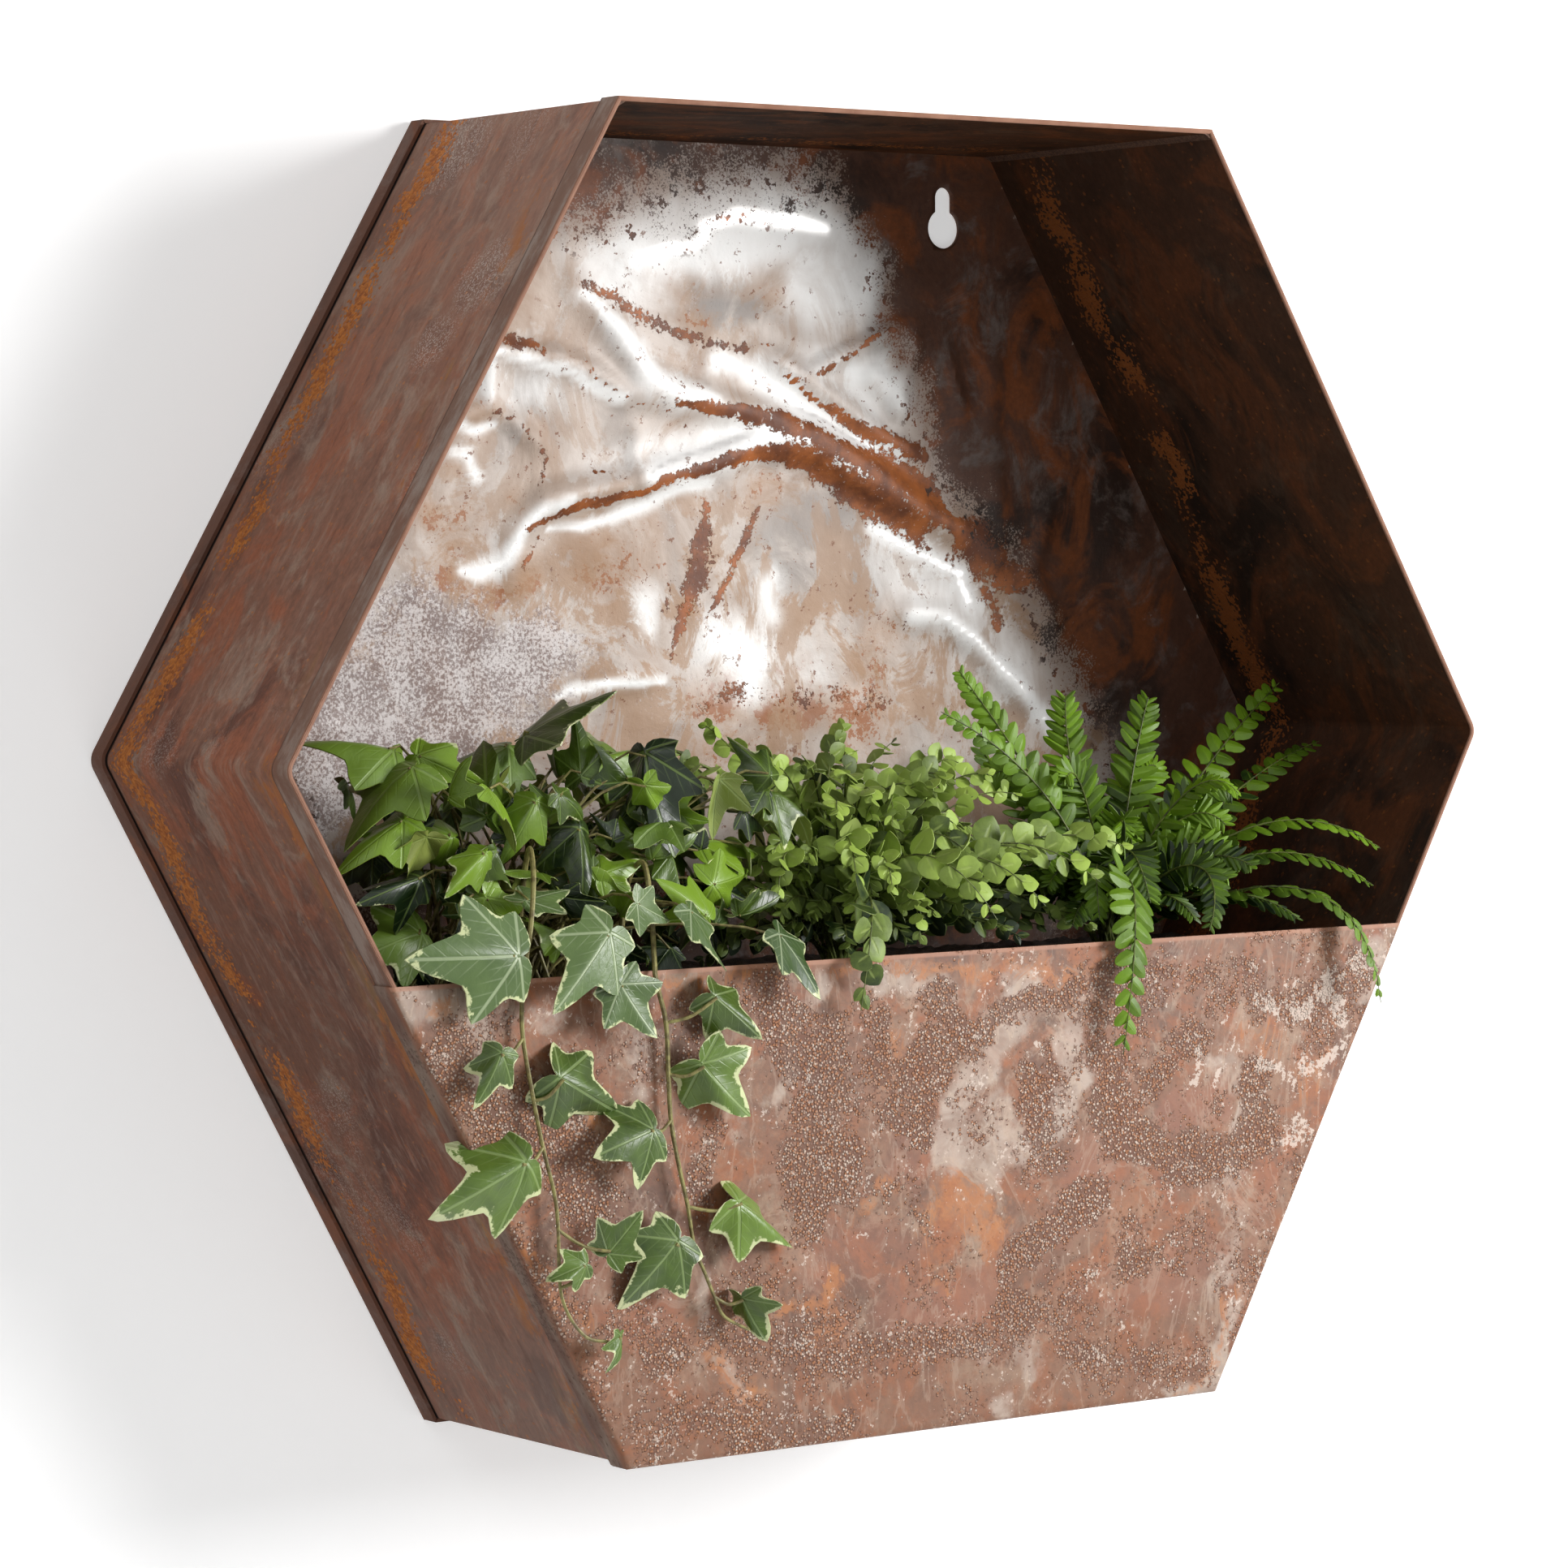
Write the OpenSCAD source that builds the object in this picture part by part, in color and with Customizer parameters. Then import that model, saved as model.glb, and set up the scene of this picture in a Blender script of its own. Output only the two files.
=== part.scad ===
// Hexagonal wall planter of folded weathering steel, planted with ivy and two ferns.
// The back rests on the wall plane y = 0 and the open front faces -Y. The origin lies on
// the back, midway between the round heads of the two keyholes that it hangs from.

/* [Case] */
// Width from side corner to side corner
overall_w = 600; // [560:1:680]
// Height from the bottom flat to the top flat
overall_h = 530; // [500:1:600]
// Depth from the wall to the front face
depth = 150; // [130:1:190]
// Length of the top flat and of the bottom flat
flat_w = 300; // [270:1:330]
// Height of the side corners above mid height
side_rise = 10; // [-20:1:20]
// Outside radius of the bend at each side corner
bend_r = 8; // [6:0.5:20]
// Height of the front panel that closes the soil pocket
pocket_h = 193; // [170:1:215]

/* [Sheet] */
// Thickness of the back pan
pan_t = 1.5; // [1:0.1:3]
// Thickness of the walls
wall_t = 1; // [0.8:0.1:2]
// Thickness of the front panel
panel_t = 1.5; // [1:0.1:3]
// Depth of the back pan's lip round the walls
pan_lip = 10; // [6:0.5:20]
// Depth of the front panel's lips round the walls
panel_lip = 12; // [8:0.5:20]
// Depth of the hem that is folded outwards along the front edge
hem_w = 12; // [6:0.5:20]
// Gap between a lip and the wall inside it
lip_gap = 0.4; // [0.2:0.1:1]
// Slit between neighbouring lips at a sharp corner
corner_slit = 0.8; // [0.4:0.1:2]
// Leg of the weld bead inside each sharp corner
weld_leg = 2.5; // [1.5:0.5:5]

/* [Hanging] */
// Distance between the two keyholes
key_spacing = 246; // [200:1:260]
// Distance from the top of the case down to the keyhole heads
key_drop = 35; // [30:1:60]
// Diameter of a keyhole's round head
key_head_d = 17; // [14:0.5:20]
// Width of a keyhole's slot
key_slot_w = 9; // [5:0.5:10]
// Height from the centre of the head to the centre of the slot's round end
key_rise = 13.5; // [12:0.5:18]

/* [Drainage] */
// Diameter of a drain hole in the bottom
drain_d = 8; // [5:0.5:12]
// Number of drain holes
drain_count = 5; // [2:1:5]
// Distance between drain holes
drain_pitch = 52; // [45:1:56]
// Side of the square screen over each drain hole
screen_w = 34; // [26:1:40]
// Thickness of the screens
screen_t = 0.8; // [0.5:0.1:1.5]
// Side of the square openings in a screen
screen_hole = 3; // [2:0.5:4]
// Distance between the openings in a screen
screen_pitch = 5; // [4.5:0.5:6]
// Height of the layer of clay pellets
pellet_h = 26; // [15:1:40]

/* [Planting] */
// Distance from the front panel's top edge down to the soil
soil_drop = 14; // [8:1:30]
// Gap round the soil, the pellets and the root balls
soil_gap = 0.3; // [0.2:0.1:1]
// Diameter of a root ball at the soil's surface
root_d = 92; // [70:1:100]
// Diameter of a root ball at its foot
root_foot_d = 74; // [50:1:80]
// Height of a root ball
root_h = 78; // [50:1:85]
// Distance from the left wall, at the rim, to the middle of the ivy
ivy_in = 92; // [85:1:110]
// Distance from the right wall, at the rim, to the middle of the sword fern
sword_in = 100; // [90:1:110]
// Distance of the button fern from the middle, to the right
button_x = 8; // [-20:1:20]

/* [Foliage] */
// Thickness of a leaf
leaf_t = 0.7; // [0.5:0.1:1]
// Diameter of an ivy leaf's stalk
stalk_d = 1.5; // [1:0.1:2]
// Diameter of a trailing ivy stem
vine_d = 2.2; // [1.6:0.1:3]
// Diameter of the clump that a fern's fronds rise from
clump_d = 16; // [10:1:24]
// Height of that clump
clump_h = 7; // [4:1:12]
// Half width of a sword fern frond
sword_w = 15; // [8:0.5:17]
// Pairs of leaflets on a sword fern frond
sword_pairs = 13; // [8:1:16]
// Half width of a button fern stem with its leaflets
button_w = 12; // [8:0.5:14]
// Pairs of leaflets on a button fern stem
button_pairs = 7; // [5:1:10]

/* [Hidden] */
$fn = 48;

// The sharp corner that a side bend rounds off lies a little outside it
half_bend = 30;
sharp_half = overall_w / 2 + bend_r * (1 / cos(half_bend) - 1);
mid_z = key_drop - overall_h / 2;
upper_turn = atan2(overall_h / 2 - side_rise, sharp_half - flat_w / 2);
lower_turn = atan2(overall_h / 2 + side_rise, sharp_half - flat_w / 2);
// Insets of the walls' faces from the outside of the case
wall_out = pan_t + lip_gap;
wall_in = wall_out + wall_t;
hem_out = wall_out - wall_t;
// Heights of the rim, the floor and the soil
rim_z = mid_z - overall_h / 2 + pocket_h;
floor_z = mid_z - overall_h / 2 + wall_in;
soil_z = rim_z - soil_drop;
// Middle of the pocket, from back to front, and half its width at the rim
root_y = -(depth + pan_t - panel_t) / 2;
rim_half = sharp_half - (mid_z + side_rise - rim_z) / tan(lower_turn) - wall_in / sin(lower_turn);
// Steps in a side bend and in a folded edge, and how far cutting shapes run past the case
bend_steps = 6;
edge_steps = 3;
reach = 40;
// Turn from one stalk's foot to the next round a plant's middle
foot_turn = 137.5;
// Rise of an ivy stalk from the soil, and how far its bend lies above its leaf
stalk_rise = 22;
stalk_bend = 14;
// Lowest height of a stalk's bend above the rim, before that is added
stalk_low = 12;
// Share of an ivy leaf's width by which its sides fall, and of its length by which its tip does
leaf_fold = 0.3;
leaf_droop = 0.12;
// Half width of a frond's rib, and the share of its width by which its leaflets fall
rib_half = 0.8;
leaflet_droop = 0.18;

rust = "#6e4b3e";
rust_pale = "#96705f";

// Outline of the case at a given inset from its outside, in the plane of the wall
function top_corner(inset) =
    [flat_w / 2 - inset * tan(upper_turn / 2), mid_z + overall_h / 2 - inset];
function low_corner(inset) =
    [flat_w / 2 - inset * tan(lower_turn / 2), mid_z - overall_h / 2 + inset];
function side_corner(inset) =
    [sharp_half - inset * (cos(lower_turn) + cos(upper_turn)) / sin(upper_turn + lower_turn),
     mid_z + side_rise + inset * (sin(upper_turn) - sin(lower_turn)) / sin(upper_turn + lower_turn)];
function side_bend(inset) = [
    for (i = [0 : bend_steps])
        let (turn = 90 - upper_turn + (upper_turn + lower_turn - 180) * i / bend_steps)
        side_corner(bend_r) + (bend_r - inset) * [cos(turn), sin(turn)]];
function right_outline(inset) = concat([top_corner(inset)], side_bend(inset), [low_corner(inset)]);
function flipped(points) = [for (i = [len(points) - 1 : -1 : 0]) [-points[i][0], points[i][1]]];
function outline(inset) = concat(right_outline(inset), flipped(right_outline(inset)));

// A flat shape in the plane of the wall, made solid between two distances from the wall
module prism(points, from_wall, to_wall) {
    translate([0, -from_wall, 0])
        rotate([90, 0, 0])
            linear_extrude(to_wall - from_wall) polygon(points);
}

// A band of the case between two insets
module band(outer, inner, from_wall, to_wall) {
    difference() {
        prism(outline(outer), from_wall, to_wall);
        prism(outline(inner), from_wall - 1, to_wall + 1);
    }
}

// Steps that round an edge of the given radius: from, to, and how far its face draws in
function edge_rounding(radius) = [
    for (i = [1 : edge_steps])
        [radius * sin(90 * (i - 1) / edge_steps), radius * sin(90 * i / edge_steps),
         radius * (1 - cos(90 * (i - 0.5) / edge_steps))]];

// A band folded over at the front, whose outside and inside draw in by their shares
module front_fold(outer, inner, from_wall, to_wall, radius, inner_share) {
    flat_to = to_wall - radius;
    band(outer, inner, from_wall, flat_to);
    for (step = edge_rounding(radius))
        band(outer + step[2], inner - inner_share * step[2], flat_to + step[0], flat_to + step[1]);
}

// A band folded over at the back, whose outside draws in
module back_fold(outer, inner, to_wall, radius) {
    band(outer, inner, radius, to_wall);
    for (step = edge_rounding(radius))
        band(outer + step[2], inner, radius - step[1], radius - step[0]);
}

// The region that belongs to one side wall, between the mitres of its two sharp corners
module right_region() {
    far = overall_w / 2 + reach;
    prism([top_corner(-reach), top_corner(reach), low_corner(reach), low_corner(-reach),
           [far, mid_z - overall_h / 2 - reach], [far, mid_z + overall_h / 2 + reach]],
          -reach, depth + reach);
}
module level_region(sharp) {
    prism(concat([sharp[0], sharp[1]], flipped([sharp[0], sharp[1]])), -reach, depth + reach);
}
module below(level) {
    translate([-overall_w, -2 * depth, level - 2 * overall_h])
        cube([2 * overall_w, 3 * depth, 2 * overall_h]);
}
module above(level) {
    translate([-overall_w, -2 * depth, level]) cube([2 * overall_w, 3 * depth, 2 * overall_h]);
}

// Slits that part neighbouring lips at a sharp corner, cut along its mitre
module slit(inner, outer, from_wall, to_wall) {
    along = (outer - inner) / norm(outer - inner);
    side = [-along[1], along[0]] * corner_slit / 2;
    prism([inner - side, inner + side, outer + side, outer - side], from_wall, to_wall);
}

// One keyhole: a round head below and a narrow slot with a round end above
module keyhole() {
    rotate([90, 0, 0]) {
        translate([0, 0, -1]) cylinder(h = pan_t + 2, d = key_head_d);
        translate([0, key_rise, -1]) cylinder(h = pan_t + 2, d = key_slot_w);
        translate([-key_slot_w / 2, 0, -1]) cube([key_slot_w, key_rise, pan_t + 2]);
    }
}

// Back pan: one plate with a lip folded forwards all round, outside the walls
module back_pan() {
    color(rust_pale)
    difference() {
        union() {
            prism(outline(pan_t), 0, pan_t);
            back_fold(0, pan_t, pan_lip, pan_t);
        }
        for (side = [-1, 1]) {
            translate([side * key_spacing / 2, 0, 0]) keyhole();
            scale_x(side) slit(top_corner(pan_t + corner_slit), top_corner(-reach), pan_t, pan_lip + 1);
            scale_x(side) slit(low_corner(pan_t + corner_slit), low_corner(-reach), pan_t, pan_lip + 1);
        }
    }
}
module scale_x(side) {
    if (side < 0) mirror([1, 0, 0]) children();
    else children();
}

// Side wall: one sheet bent at the side corner, hemmed outwards above the pocket
module right_side_wall() {
    color(rust)
    intersection() {
        union() {
            band(wall_out, wall_in, pan_t, depth - panel_t);
            intersection() {
                union() {
                    band(wall_out, wall_in, depth - hem_w, depth - wall_t);
                    front_fold(hem_out, wall_in, depth - hem_w, depth, wall_t, 1);
                }
                above(rim_z);
            }
        }
        right_region();
    }
}
module left_side_wall() {
    mirror([1, 0, 0]) right_side_wall();
}

// Top wall: a flat strip with the same hem, mitred to the side walls
module top_wall() {
    color(rust)
    intersection() {
        union() {
            band(wall_out, wall_in, pan_t, depth - wall_t);
            front_fold(hem_out, wall_in, depth - hem_w, depth, wall_t, 1);
        }
        level_region([top_corner(-reach), top_corner(reach)]);
    }
}

// Bottom wall: a flat strip with a row of drain holes
module bottom_wall() {
    color(rust)
    difference() {
        intersection() {
            band(wall_out, wall_in, pan_t, depth - panel_t);
            level_region([low_corner(-reach), low_corner(reach)]);
        }
        for (i = [0 : drain_count - 1])
            translate([drain_x(i), root_y, floor_z - 2 * wall_t])
                cylinder(h = 3 * wall_t, d = drain_d);
    }
}
function drain_x(i) = (i - (drain_count - 1) / 2) * drain_pitch;

// Front panel: closes the pocket, with lips folded back round the side and bottom walls
module front_panel() {
    color(rust_pale)
    difference() {
        intersection() {
            union() {
                prism(outline(panel_t), depth - panel_t, depth);
                front_fold(0, panel_t, depth - panel_lip, depth, panel_t, 0);
            }
            below(rim_z);
        }
        for (side = [-1, 1])
            scale_x(side)
                slit(low_corner(panel_t + corner_slit), low_corner(-reach),
                     depth - panel_lip - 1, depth - panel_t);
    }
}

// Weld beads inside the four sharp corners
function bead(corner, level_way, slope, leg) =
    [corner, corner + [leg * level_way, 0], corner + leg * [cos(slope), sin(slope)]];
module corner_beads(leg) {
    for (side = [-1, 1])
        scale_x(side) {
            prism(bead(top_corner(wall_in), -1, -upper_turn, leg), pan_t, depth - wall_t);
            prism(bead(low_corner(wall_in), -1, lower_turn, leg), pan_t, depth - panel_t);
        }
}
module corner_welds() {
    color("#5a4238") corner_beads(weld_leg);
}

// A square of perforated sheet lies over each drain hole
module drain_screens() {
    holes = floor((screen_w - screen_hole) / screen_pitch / 2 - 0.1);
    color("#8c8f8e")
    for (i = [0 : drain_count - 1])
        translate([drain_x(i), root_y, floor_z])
            linear_extrude(screen_t)
                difference() {
                    square(screen_w, center = true);
                    for (column = [-holes : holes])
                        for (row = [-holes : holes])
                            translate([column, row] * screen_pitch)
                                square(screen_hole, center = true);
                }
}

// What fills the pocket between two levels, clear of the walls
module pocket_fill(low, high) {
    intersection() {
        prism(outline(wall_in + soil_gap), pan_t + soil_gap, depth - panel_t - soil_gap);
        above(low);
        below(high);
    }
}
module clay_pellets() {
    color("#9a5b3c")
    difference() {
        pocket_fill(floor_z + soil_gap, floor_z + pellet_h);
        corner_beads(weld_leg + 3 * soil_gap);
        for (i = [0 : drain_count - 1])
            translate([drain_x(i), root_y, floor_z])
                cube([screen_w, screen_w, 2 * screen_t] + 2 * soil_gap * [1, 1, 1], center = true);
    }
}

// Root balls, each in its hole in the soil
ivy_x = ivy_in - rim_half;
sword_x = rim_half - sword_in;
module root_ball(x, extra) {
    slope = (root_d - root_foot_d) / 2 / root_h;
    translate([x, root_y, soil_z - root_h - extra])
        cylinder(h = root_h + 2 * extra, r1 = root_foot_d / 2 + extra - slope * extra,
                 r2 = root_d / 2 + extra + slope * extra);
}
module potting_soil() {
    color("#2b211b")
    difference() {
        pocket_fill(floor_z + pellet_h + soil_gap, soil_z);
        for (x = [ivy_x, button_x, sword_x]) root_ball(x, soil_gap);
    }
}
module ivy_root_ball() {
    color("#33261e") root_ball(ivy_x, 0);
}
module button_fern_root_ball() {
    color("#33261e") root_ball(button_x, 0);
}
module sword_fern_root_ball() {
    color("#33261e") root_ball(sword_x, 0);
}

// A place in a plant: p says how far right of its middle, in front of the rim, and above the rim,
// for a case of the width, depth and height below. The plants fill a larger case alike.
grown_in = [600, 150, 530];
grown = [overall_w / grown_in[0], depth / grown_in[1], overall_h / grown_in[2]];
function plant_place(middle, p) =
    [middle + p[0] * grown[0], -depth - p[1] * grown[1], rim_z + p[2] * grown[2]];
function unit(v) = v / norm(v);
function quad_curve(a, b, c, t) = (1 - t) * (1 - t) * a + 2 * t * (1 - t) * b + t * t * c;
function cubic_curve(a, b, c, d, t) =
    (1 - t) * quad_curve(a, b, c, t) + t * quad_curve(b, c, d, t);

// A round stem along a row of points, square to the first and the last stretch
module stem(path, diameter, sides) {
    count = len(path);
    last = count - 1;
    points = [
        for (i = [0 : last])
            let (way = unit(path[min(i + 1, last)] - path[max(i - 1, 0)]),
                 side = unit(cross(way, [0.25, 1, 0.1])),
                 other = cross(way, side))
            for (k = [0 : sides - 1])
                path[i] + diameter / 2 * (cos(360 * k / sides) * side + sin(360 * k / sides) * other)];
    walls = [
        for (i = [0 : last - 1])
            for (k = [0 : sides - 1])
                let (a = i * sides + k, b = i * sides + (k + 1) % sides)
                for (face = [[a, a + sides, b], [b, a + sides, b + sides]]) face];
    ends = [
        for (k = [1 : sides - 2])
            for (face = [[0, k, k + 1], [last * sides, last * sides + k + 1, last * sides + k]]) face];
    polyhedron(points, concat(walls, ends));
}

// Half of a five-lobed ivy leaf, in shares of its length: along the midrib, and out from it
ivy_half = [[-0.16, 0.18], [-0.1, 0.4], [0.13, 0.34], [0.36, 0.58], [0.5, 0.24]];

// An ivy leaf from its base to its tip, with the way it faces, folded a little along the midrib
module ivy_blade(base, tip, face) {
    size = norm(tip - base);
    along = unit(tip - base);
    across = unit(cross(face, along));
    up = cross(along, across);
    flat = concat([[0, 0], [0.3, 0], [1, 0]], ivy_half, [for (p = ivy_half) [p[0], -p[1]]]);
    top = [
        for (p = flat)
            let (fall = leaf_fold * abs(p[1]) + leaf_droop * p[0] * p[0])
            base + size * (p[0] * along + p[1] * across - fall * up)];
    under = [for (p = top) p - leaf_t * up];
    edge = [0, 3, 4, 5, 6, 7, 2, 12, 11, 10, 9, 8];
    n = len(edge);
    faces = [
        for (i = [0 : n - 1])
            let (a = edge[i], b = edge[(i + 1) % n], m = len(flat))
            for (face = [[1, a, b], [1 + m, b + m, a + m], [a, a + m, b + m], [a, b + m, b]]) face];
    polyhedron(concat(top, under), faces);
}

// Ways that leaves face
front = [-0.45, -0.8, 0.35];
straight = [-0.15, -1, 0.15];
up_front = [-0.2, -0.6, 0.8];
right_front = [0.5, -0.8, 0.3];
left_front = [-0.9, -0.4, 0.2];

// Leaves of the ivy's crown, each with its base, its tip, and the way it faces
crown_leaves = [
    [[6, -62, 90], [26, -36, 112], up_front],
    [[-57, -58, 86], [-92, -66, 100], up_front],
    [[-50, -52, 84], [-34, -30, 74], front],
    [[-2, -88, 80], [-32, -98, 76], up_front],
    [[-56, -46, 80], [-92, -40, 64], up_front],
    [[1, -66, 86], [-37, -54, 77], up_front],
    [[22, -46, 74], [26, -54, 100], front],
    [[56, -80, 80], [102, -94, 86], up_front],
    [[66, -86, 74], [110, -100, 74], up_front],
    [[56, -92, 82], [70, -112, 96], front],
    [[47, -38, 83], [38, -18, 49], left_front],
    [[58, -46, 68], [91, -34, 37], up_front],
    [[63, -60, 68], [97, -72, 58], up_front],
    [[-30, -34, 60], [-24, -44, 92], front],
    [[-11, -28, 66], [-25, -22, 46], front],
    [[9, -28, 55], [4, -14, 30], front],
    [[12, 7, 27], [30, 5, 18], front],
    [[-45, 11, 10], [-92, 16, 11], straight],
    [[-4, 12, 17], [-32, 20, -12], straight],
    [[0, 13, -3], [14, 16, -26], straight],
    [[-28, -10, 29], [-4, -14, 34], up_front],
    [[39, 4, 23], [50, 14, 0], right_front],
    [[80, 6, 12], [97, 16, -11], right_front],
    [[106, -38, 67], [81, -34, 77], up_front],
    [[108, -38, 66], [135, -38, 56], up_front],
    [[-56, -40, 16], [-88, -32, 14], front],
    [[-36, -26, 30], [-20, -20, 4], front],
    [[-64, -40, 60], [-94, -38, 44], up_front],
    [[-43, -38, 53], [-76, -34, 58], front],
    [[-60, -34, 38], [-88, -26, 31], front],
    [[-37, -24, 47], [-58, -16, 34], front],
    [[3, -40, 48], [26, -50, 62], up_front],
    [[73, -40, 46], [106, -46, 50], up_front],
    [[71, -26, 30], [100, -26, 34], front],
    [[63, -18, 18], [42, -16, 36], front],
    [[17, -26, 36], [38, -26, 44], front],
    [[54, -30, 43], [56, -18, 24], right_front],
    [[84, -60, 50], [68, -76, 60], front],
    [[30, -70, 60], [10, -90, 72], up_front],
    [[-20, -74, 62], [-46, -90, 60], up_front]];

// A stalk rises from the soil, bends over and carries one leaf
module ivy_stalked(index) {
    leaf = crown_leaves[index];
    base = plant_place(ivy_x, leaf[0]);
    tip = plant_place(ivy_x, leaf[1]);
    ring = 6 + 4 * sqrt(index);
    turn = foot_turn * index;
    start = [ivy_x + ring * cos(turn), root_y - ring * sin(turn) / 2, soil_z + 2 * soil_gap];
    above_base = 0.3 * start + 0.7 * base;
    shoulder = [above_base[0], above_base[1], max(base[2], rim_z + stalk_low) + stalk_bend];
    end = stalk_end(base, tip, leaf[2]);
    stem([for (t = [0 : 4]) cubic_curve(start, start + [0, 0, stalk_rise], shoulder, end, t / 4)],
         stalk_d, 5);
    ivy_blade(base, tip, leaf[2]);
}

// A stalk ends inside the leaf, just past its base
function stalk_end(base, tip, face) =
    base + 0.14 * (tip - base) - leaf_t / 2 * unit(cross(tip - base, cross(face, tip - base)));
module ivy_crown() {
    color("#3f6b2a")
    for (i = [0 : len(crown_leaves) - 1]) ivy_stalked(i);
}

// Trailing stems: points along each stem, then its leaves, each with the number of the stem
// point that it springs from, its base, its tip, and the way it faces
left_vine = [
    [-14, -36, -14], [-14, -36, 14], [-14, -32, 38], [-18, -22, 48], [-25, -9, 38], [-31, -2, 20],
    [-36, 0.9, 3.2], [-38.5, 3, -6], [-39, 4, -22], [-35, 5, -46], [-31, 5, -64], [-26, 5, -82],
    [-25, 6, -96], [-25, 7, -118], [-21, 8, -130], [-14, 9, -138], [-6, 10, -140]];
left_vine_leaves = [
    [8, [-53, 11, -26], [-64, 15, -46], straight],
    [9, [-27, 11, -37], [3, 15, -56], straight],
    [10, [-43, 12, -68], [-82, 17, -86], straight],
    [12, [-6, 12, -106], [8, 16, -90], straight],
    [13, [-17, 13, -109], [-34, 17, -112], straight],
    [16, [0, 11, -138], [-2, 14, -152], right_front]];
right_vine = [
    [34, -36, -14], [34, -36, 14], [35, -32, 34], [34, -20, 40], [29, -8, 20], [24, 0.9, 3.2],
    [23, 3.5, -4], [27, 4, -20], [28, 4, -40], [29, 4, -58], [32, 5, -76], [36, 5, -92],
    [39, 5, -108], [43, 6, -118], [47, 7, -128], [51, 8, -136], [62, 9, -142]];
right_vine_leaves = [
    [7, [45, 11, -10], [67, 16, -28], straight],
    [8, [39, 11, -36], [60, 14, -61], straight],
    [9, [16, 11, -60], [-12, 16, -67], straight],
    [11, [56, 11, -91], [87, 15, -110], straight],
    [12, [28, 10, -104], [4, 13, -127], straight],
    [14, [58, 12, -129], [66, 14, -148], left_front]];
module ivy_trail(path, leaves) {
    places = [for (p = path) plant_place(ivy_x, p)];
    start = [places[0][0], places[0][1], soil_z + 2 * soil_gap];
    stem(concat([start], [for (i = [1 : len(places) - 1]) places[i]]), vine_d, 6);
    for (leaf = leaves) {
        base = plant_place(ivy_x, leaf[1]);
        tip = plant_place(ivy_x, leaf[2]);
        from = places[leaf[0]];
        seat = stalk_end(base, tip, leaf[3]);
        sag = (from + seat) / 2 - [0, 0, 3];
        stem([for (t = [0 : 3]) quad_curve(from, sag, seat, t / 3)], stalk_d, 5);
        ivy_blade(base, tip, leaf[3]);
    }
}
module ivy_trail_left() {
    color("#5c7f45") ivy_trail(left_vine, left_vine_leaves);
}
module ivy_trail_right() {
    color("#5c7f45") ivy_trail(right_vine, right_vine_leaves);
}

// Width along a frond, as a share of its half width: a bare foot, then widest low down
function blade_share(s) = 0.05 + max(0, min(1, (s - 0.12) / 0.2)) * pow(max(0, 1.03 - s), 0.6);

// A frond along a curve, with pairs of leaflets. Each leaflet has its outer points in pairs:
// how far along its own pitch they lie, and how far out as a share of the half width.
module frond(path, face, half_width, lobe) {
    last = len(path) - 1;
    outer = len(lobe);
    ways = [for (i = [0 : last]) unit(path[min(i + 1, last)] - path[max(i - 1, 0)])];
    sides = [for (way = ways) unit(cross(face, way))];
    ups = [for (i = [0 : last]) cross(ways[i], sides[i])];
    spread = [for (i = [0 : last]) half_width * blade_share(i / last)];
    row = 2 + 2 * outer;
    top = [
        for (i = [0 : last])
            let (next = min(i + 1, last))
            for (side = [1, -1])
                for (k = [-1 : outer - 1])
                    k < 0
                        ? path[i] + side * rib_half * sides[i]
                        : let (on_rib = path[i] + lobe[k][0] * (path[next] - path[i]),
                               w = rib_half + lobe[k][1] * spread[i])
                          on_rib + w * (side * sides[i] - leaflet_droop * ups[i])];
    m = len(top);
    under = [for (i = [0 : m - 1]) top[i] - leaf_t * ups[floor(i / row)]];
    half = 1 + outer;
    right_edge = [for (i = [0 : last - 1]) for (k = [0 : outer]) i * row + k];
    left_edge = [for (i = [last - 1 : -1 : 0]) for (k = [outer : -1 : 0]) i * row + half + k];
    edge = concat(right_edge, [last * row, last * row + half], left_edge);
    n = len(edge);
    strip = [
        for (i = [0 : last - 1])
            let (a = i * row, b = a + half, c = a + row, d = b + row)
            for (face = [[a, c, b], [b, c, d]]) face];
    lobes = [
        for (i = [0 : last - 1])
            for (k = [1 : outer])
                let (a = i * row, b = a + half,
                     next_a = k < outer ? a + k + 1 : a + row,
                     next_b = k < outer ? b + k + 1 : b + row)
                for (face = [[a, a + k, next_a], [b, next_b, b + k]]) face];
    skin = concat(strip, lobes);
    walls = [
        for (i = [0 : n - 1])
            let (a = edge[i], b = edge[(i + 1) % n])
            for (face = [[a, a + m, b + m], [a, b + m, b]]) face];
    polyhedron(concat(top, under), concat(skin, [for (f = skin) [f[0] + m, f[2] + m, f[1] + m]], walls));
}

// A fern: fronds that rise from a clump on top of its root ball
module fern(middle, fronds, half_width, pairs, leaflet) {
    foot = [middle, root_y, soil_z + soil_gap];
    translate(foot) cylinder(h = clump_h, d1 = clump_d, d2 = 0.7 * clump_d);
    for (i = [0 : len(fronds) - 1]) {
        f = fronds[i];
        ring = clump_d / 3 * sqrt(i / len(fronds));
        turn = foot_turn * i;
        start = foot + [ring * cos(turn), -ring * sin(turn), clump_h / 2];
        bends = [for (k = [0 : 2]) plant_place(middle, f[k])];
        path = [for (k = [0 : pairs]) cubic_curve(start, bends[0], bends[1], bends[2], k / pairs)];
        frond(path, f[3], half_width * f[4], leaflet);
    }
}

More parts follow.
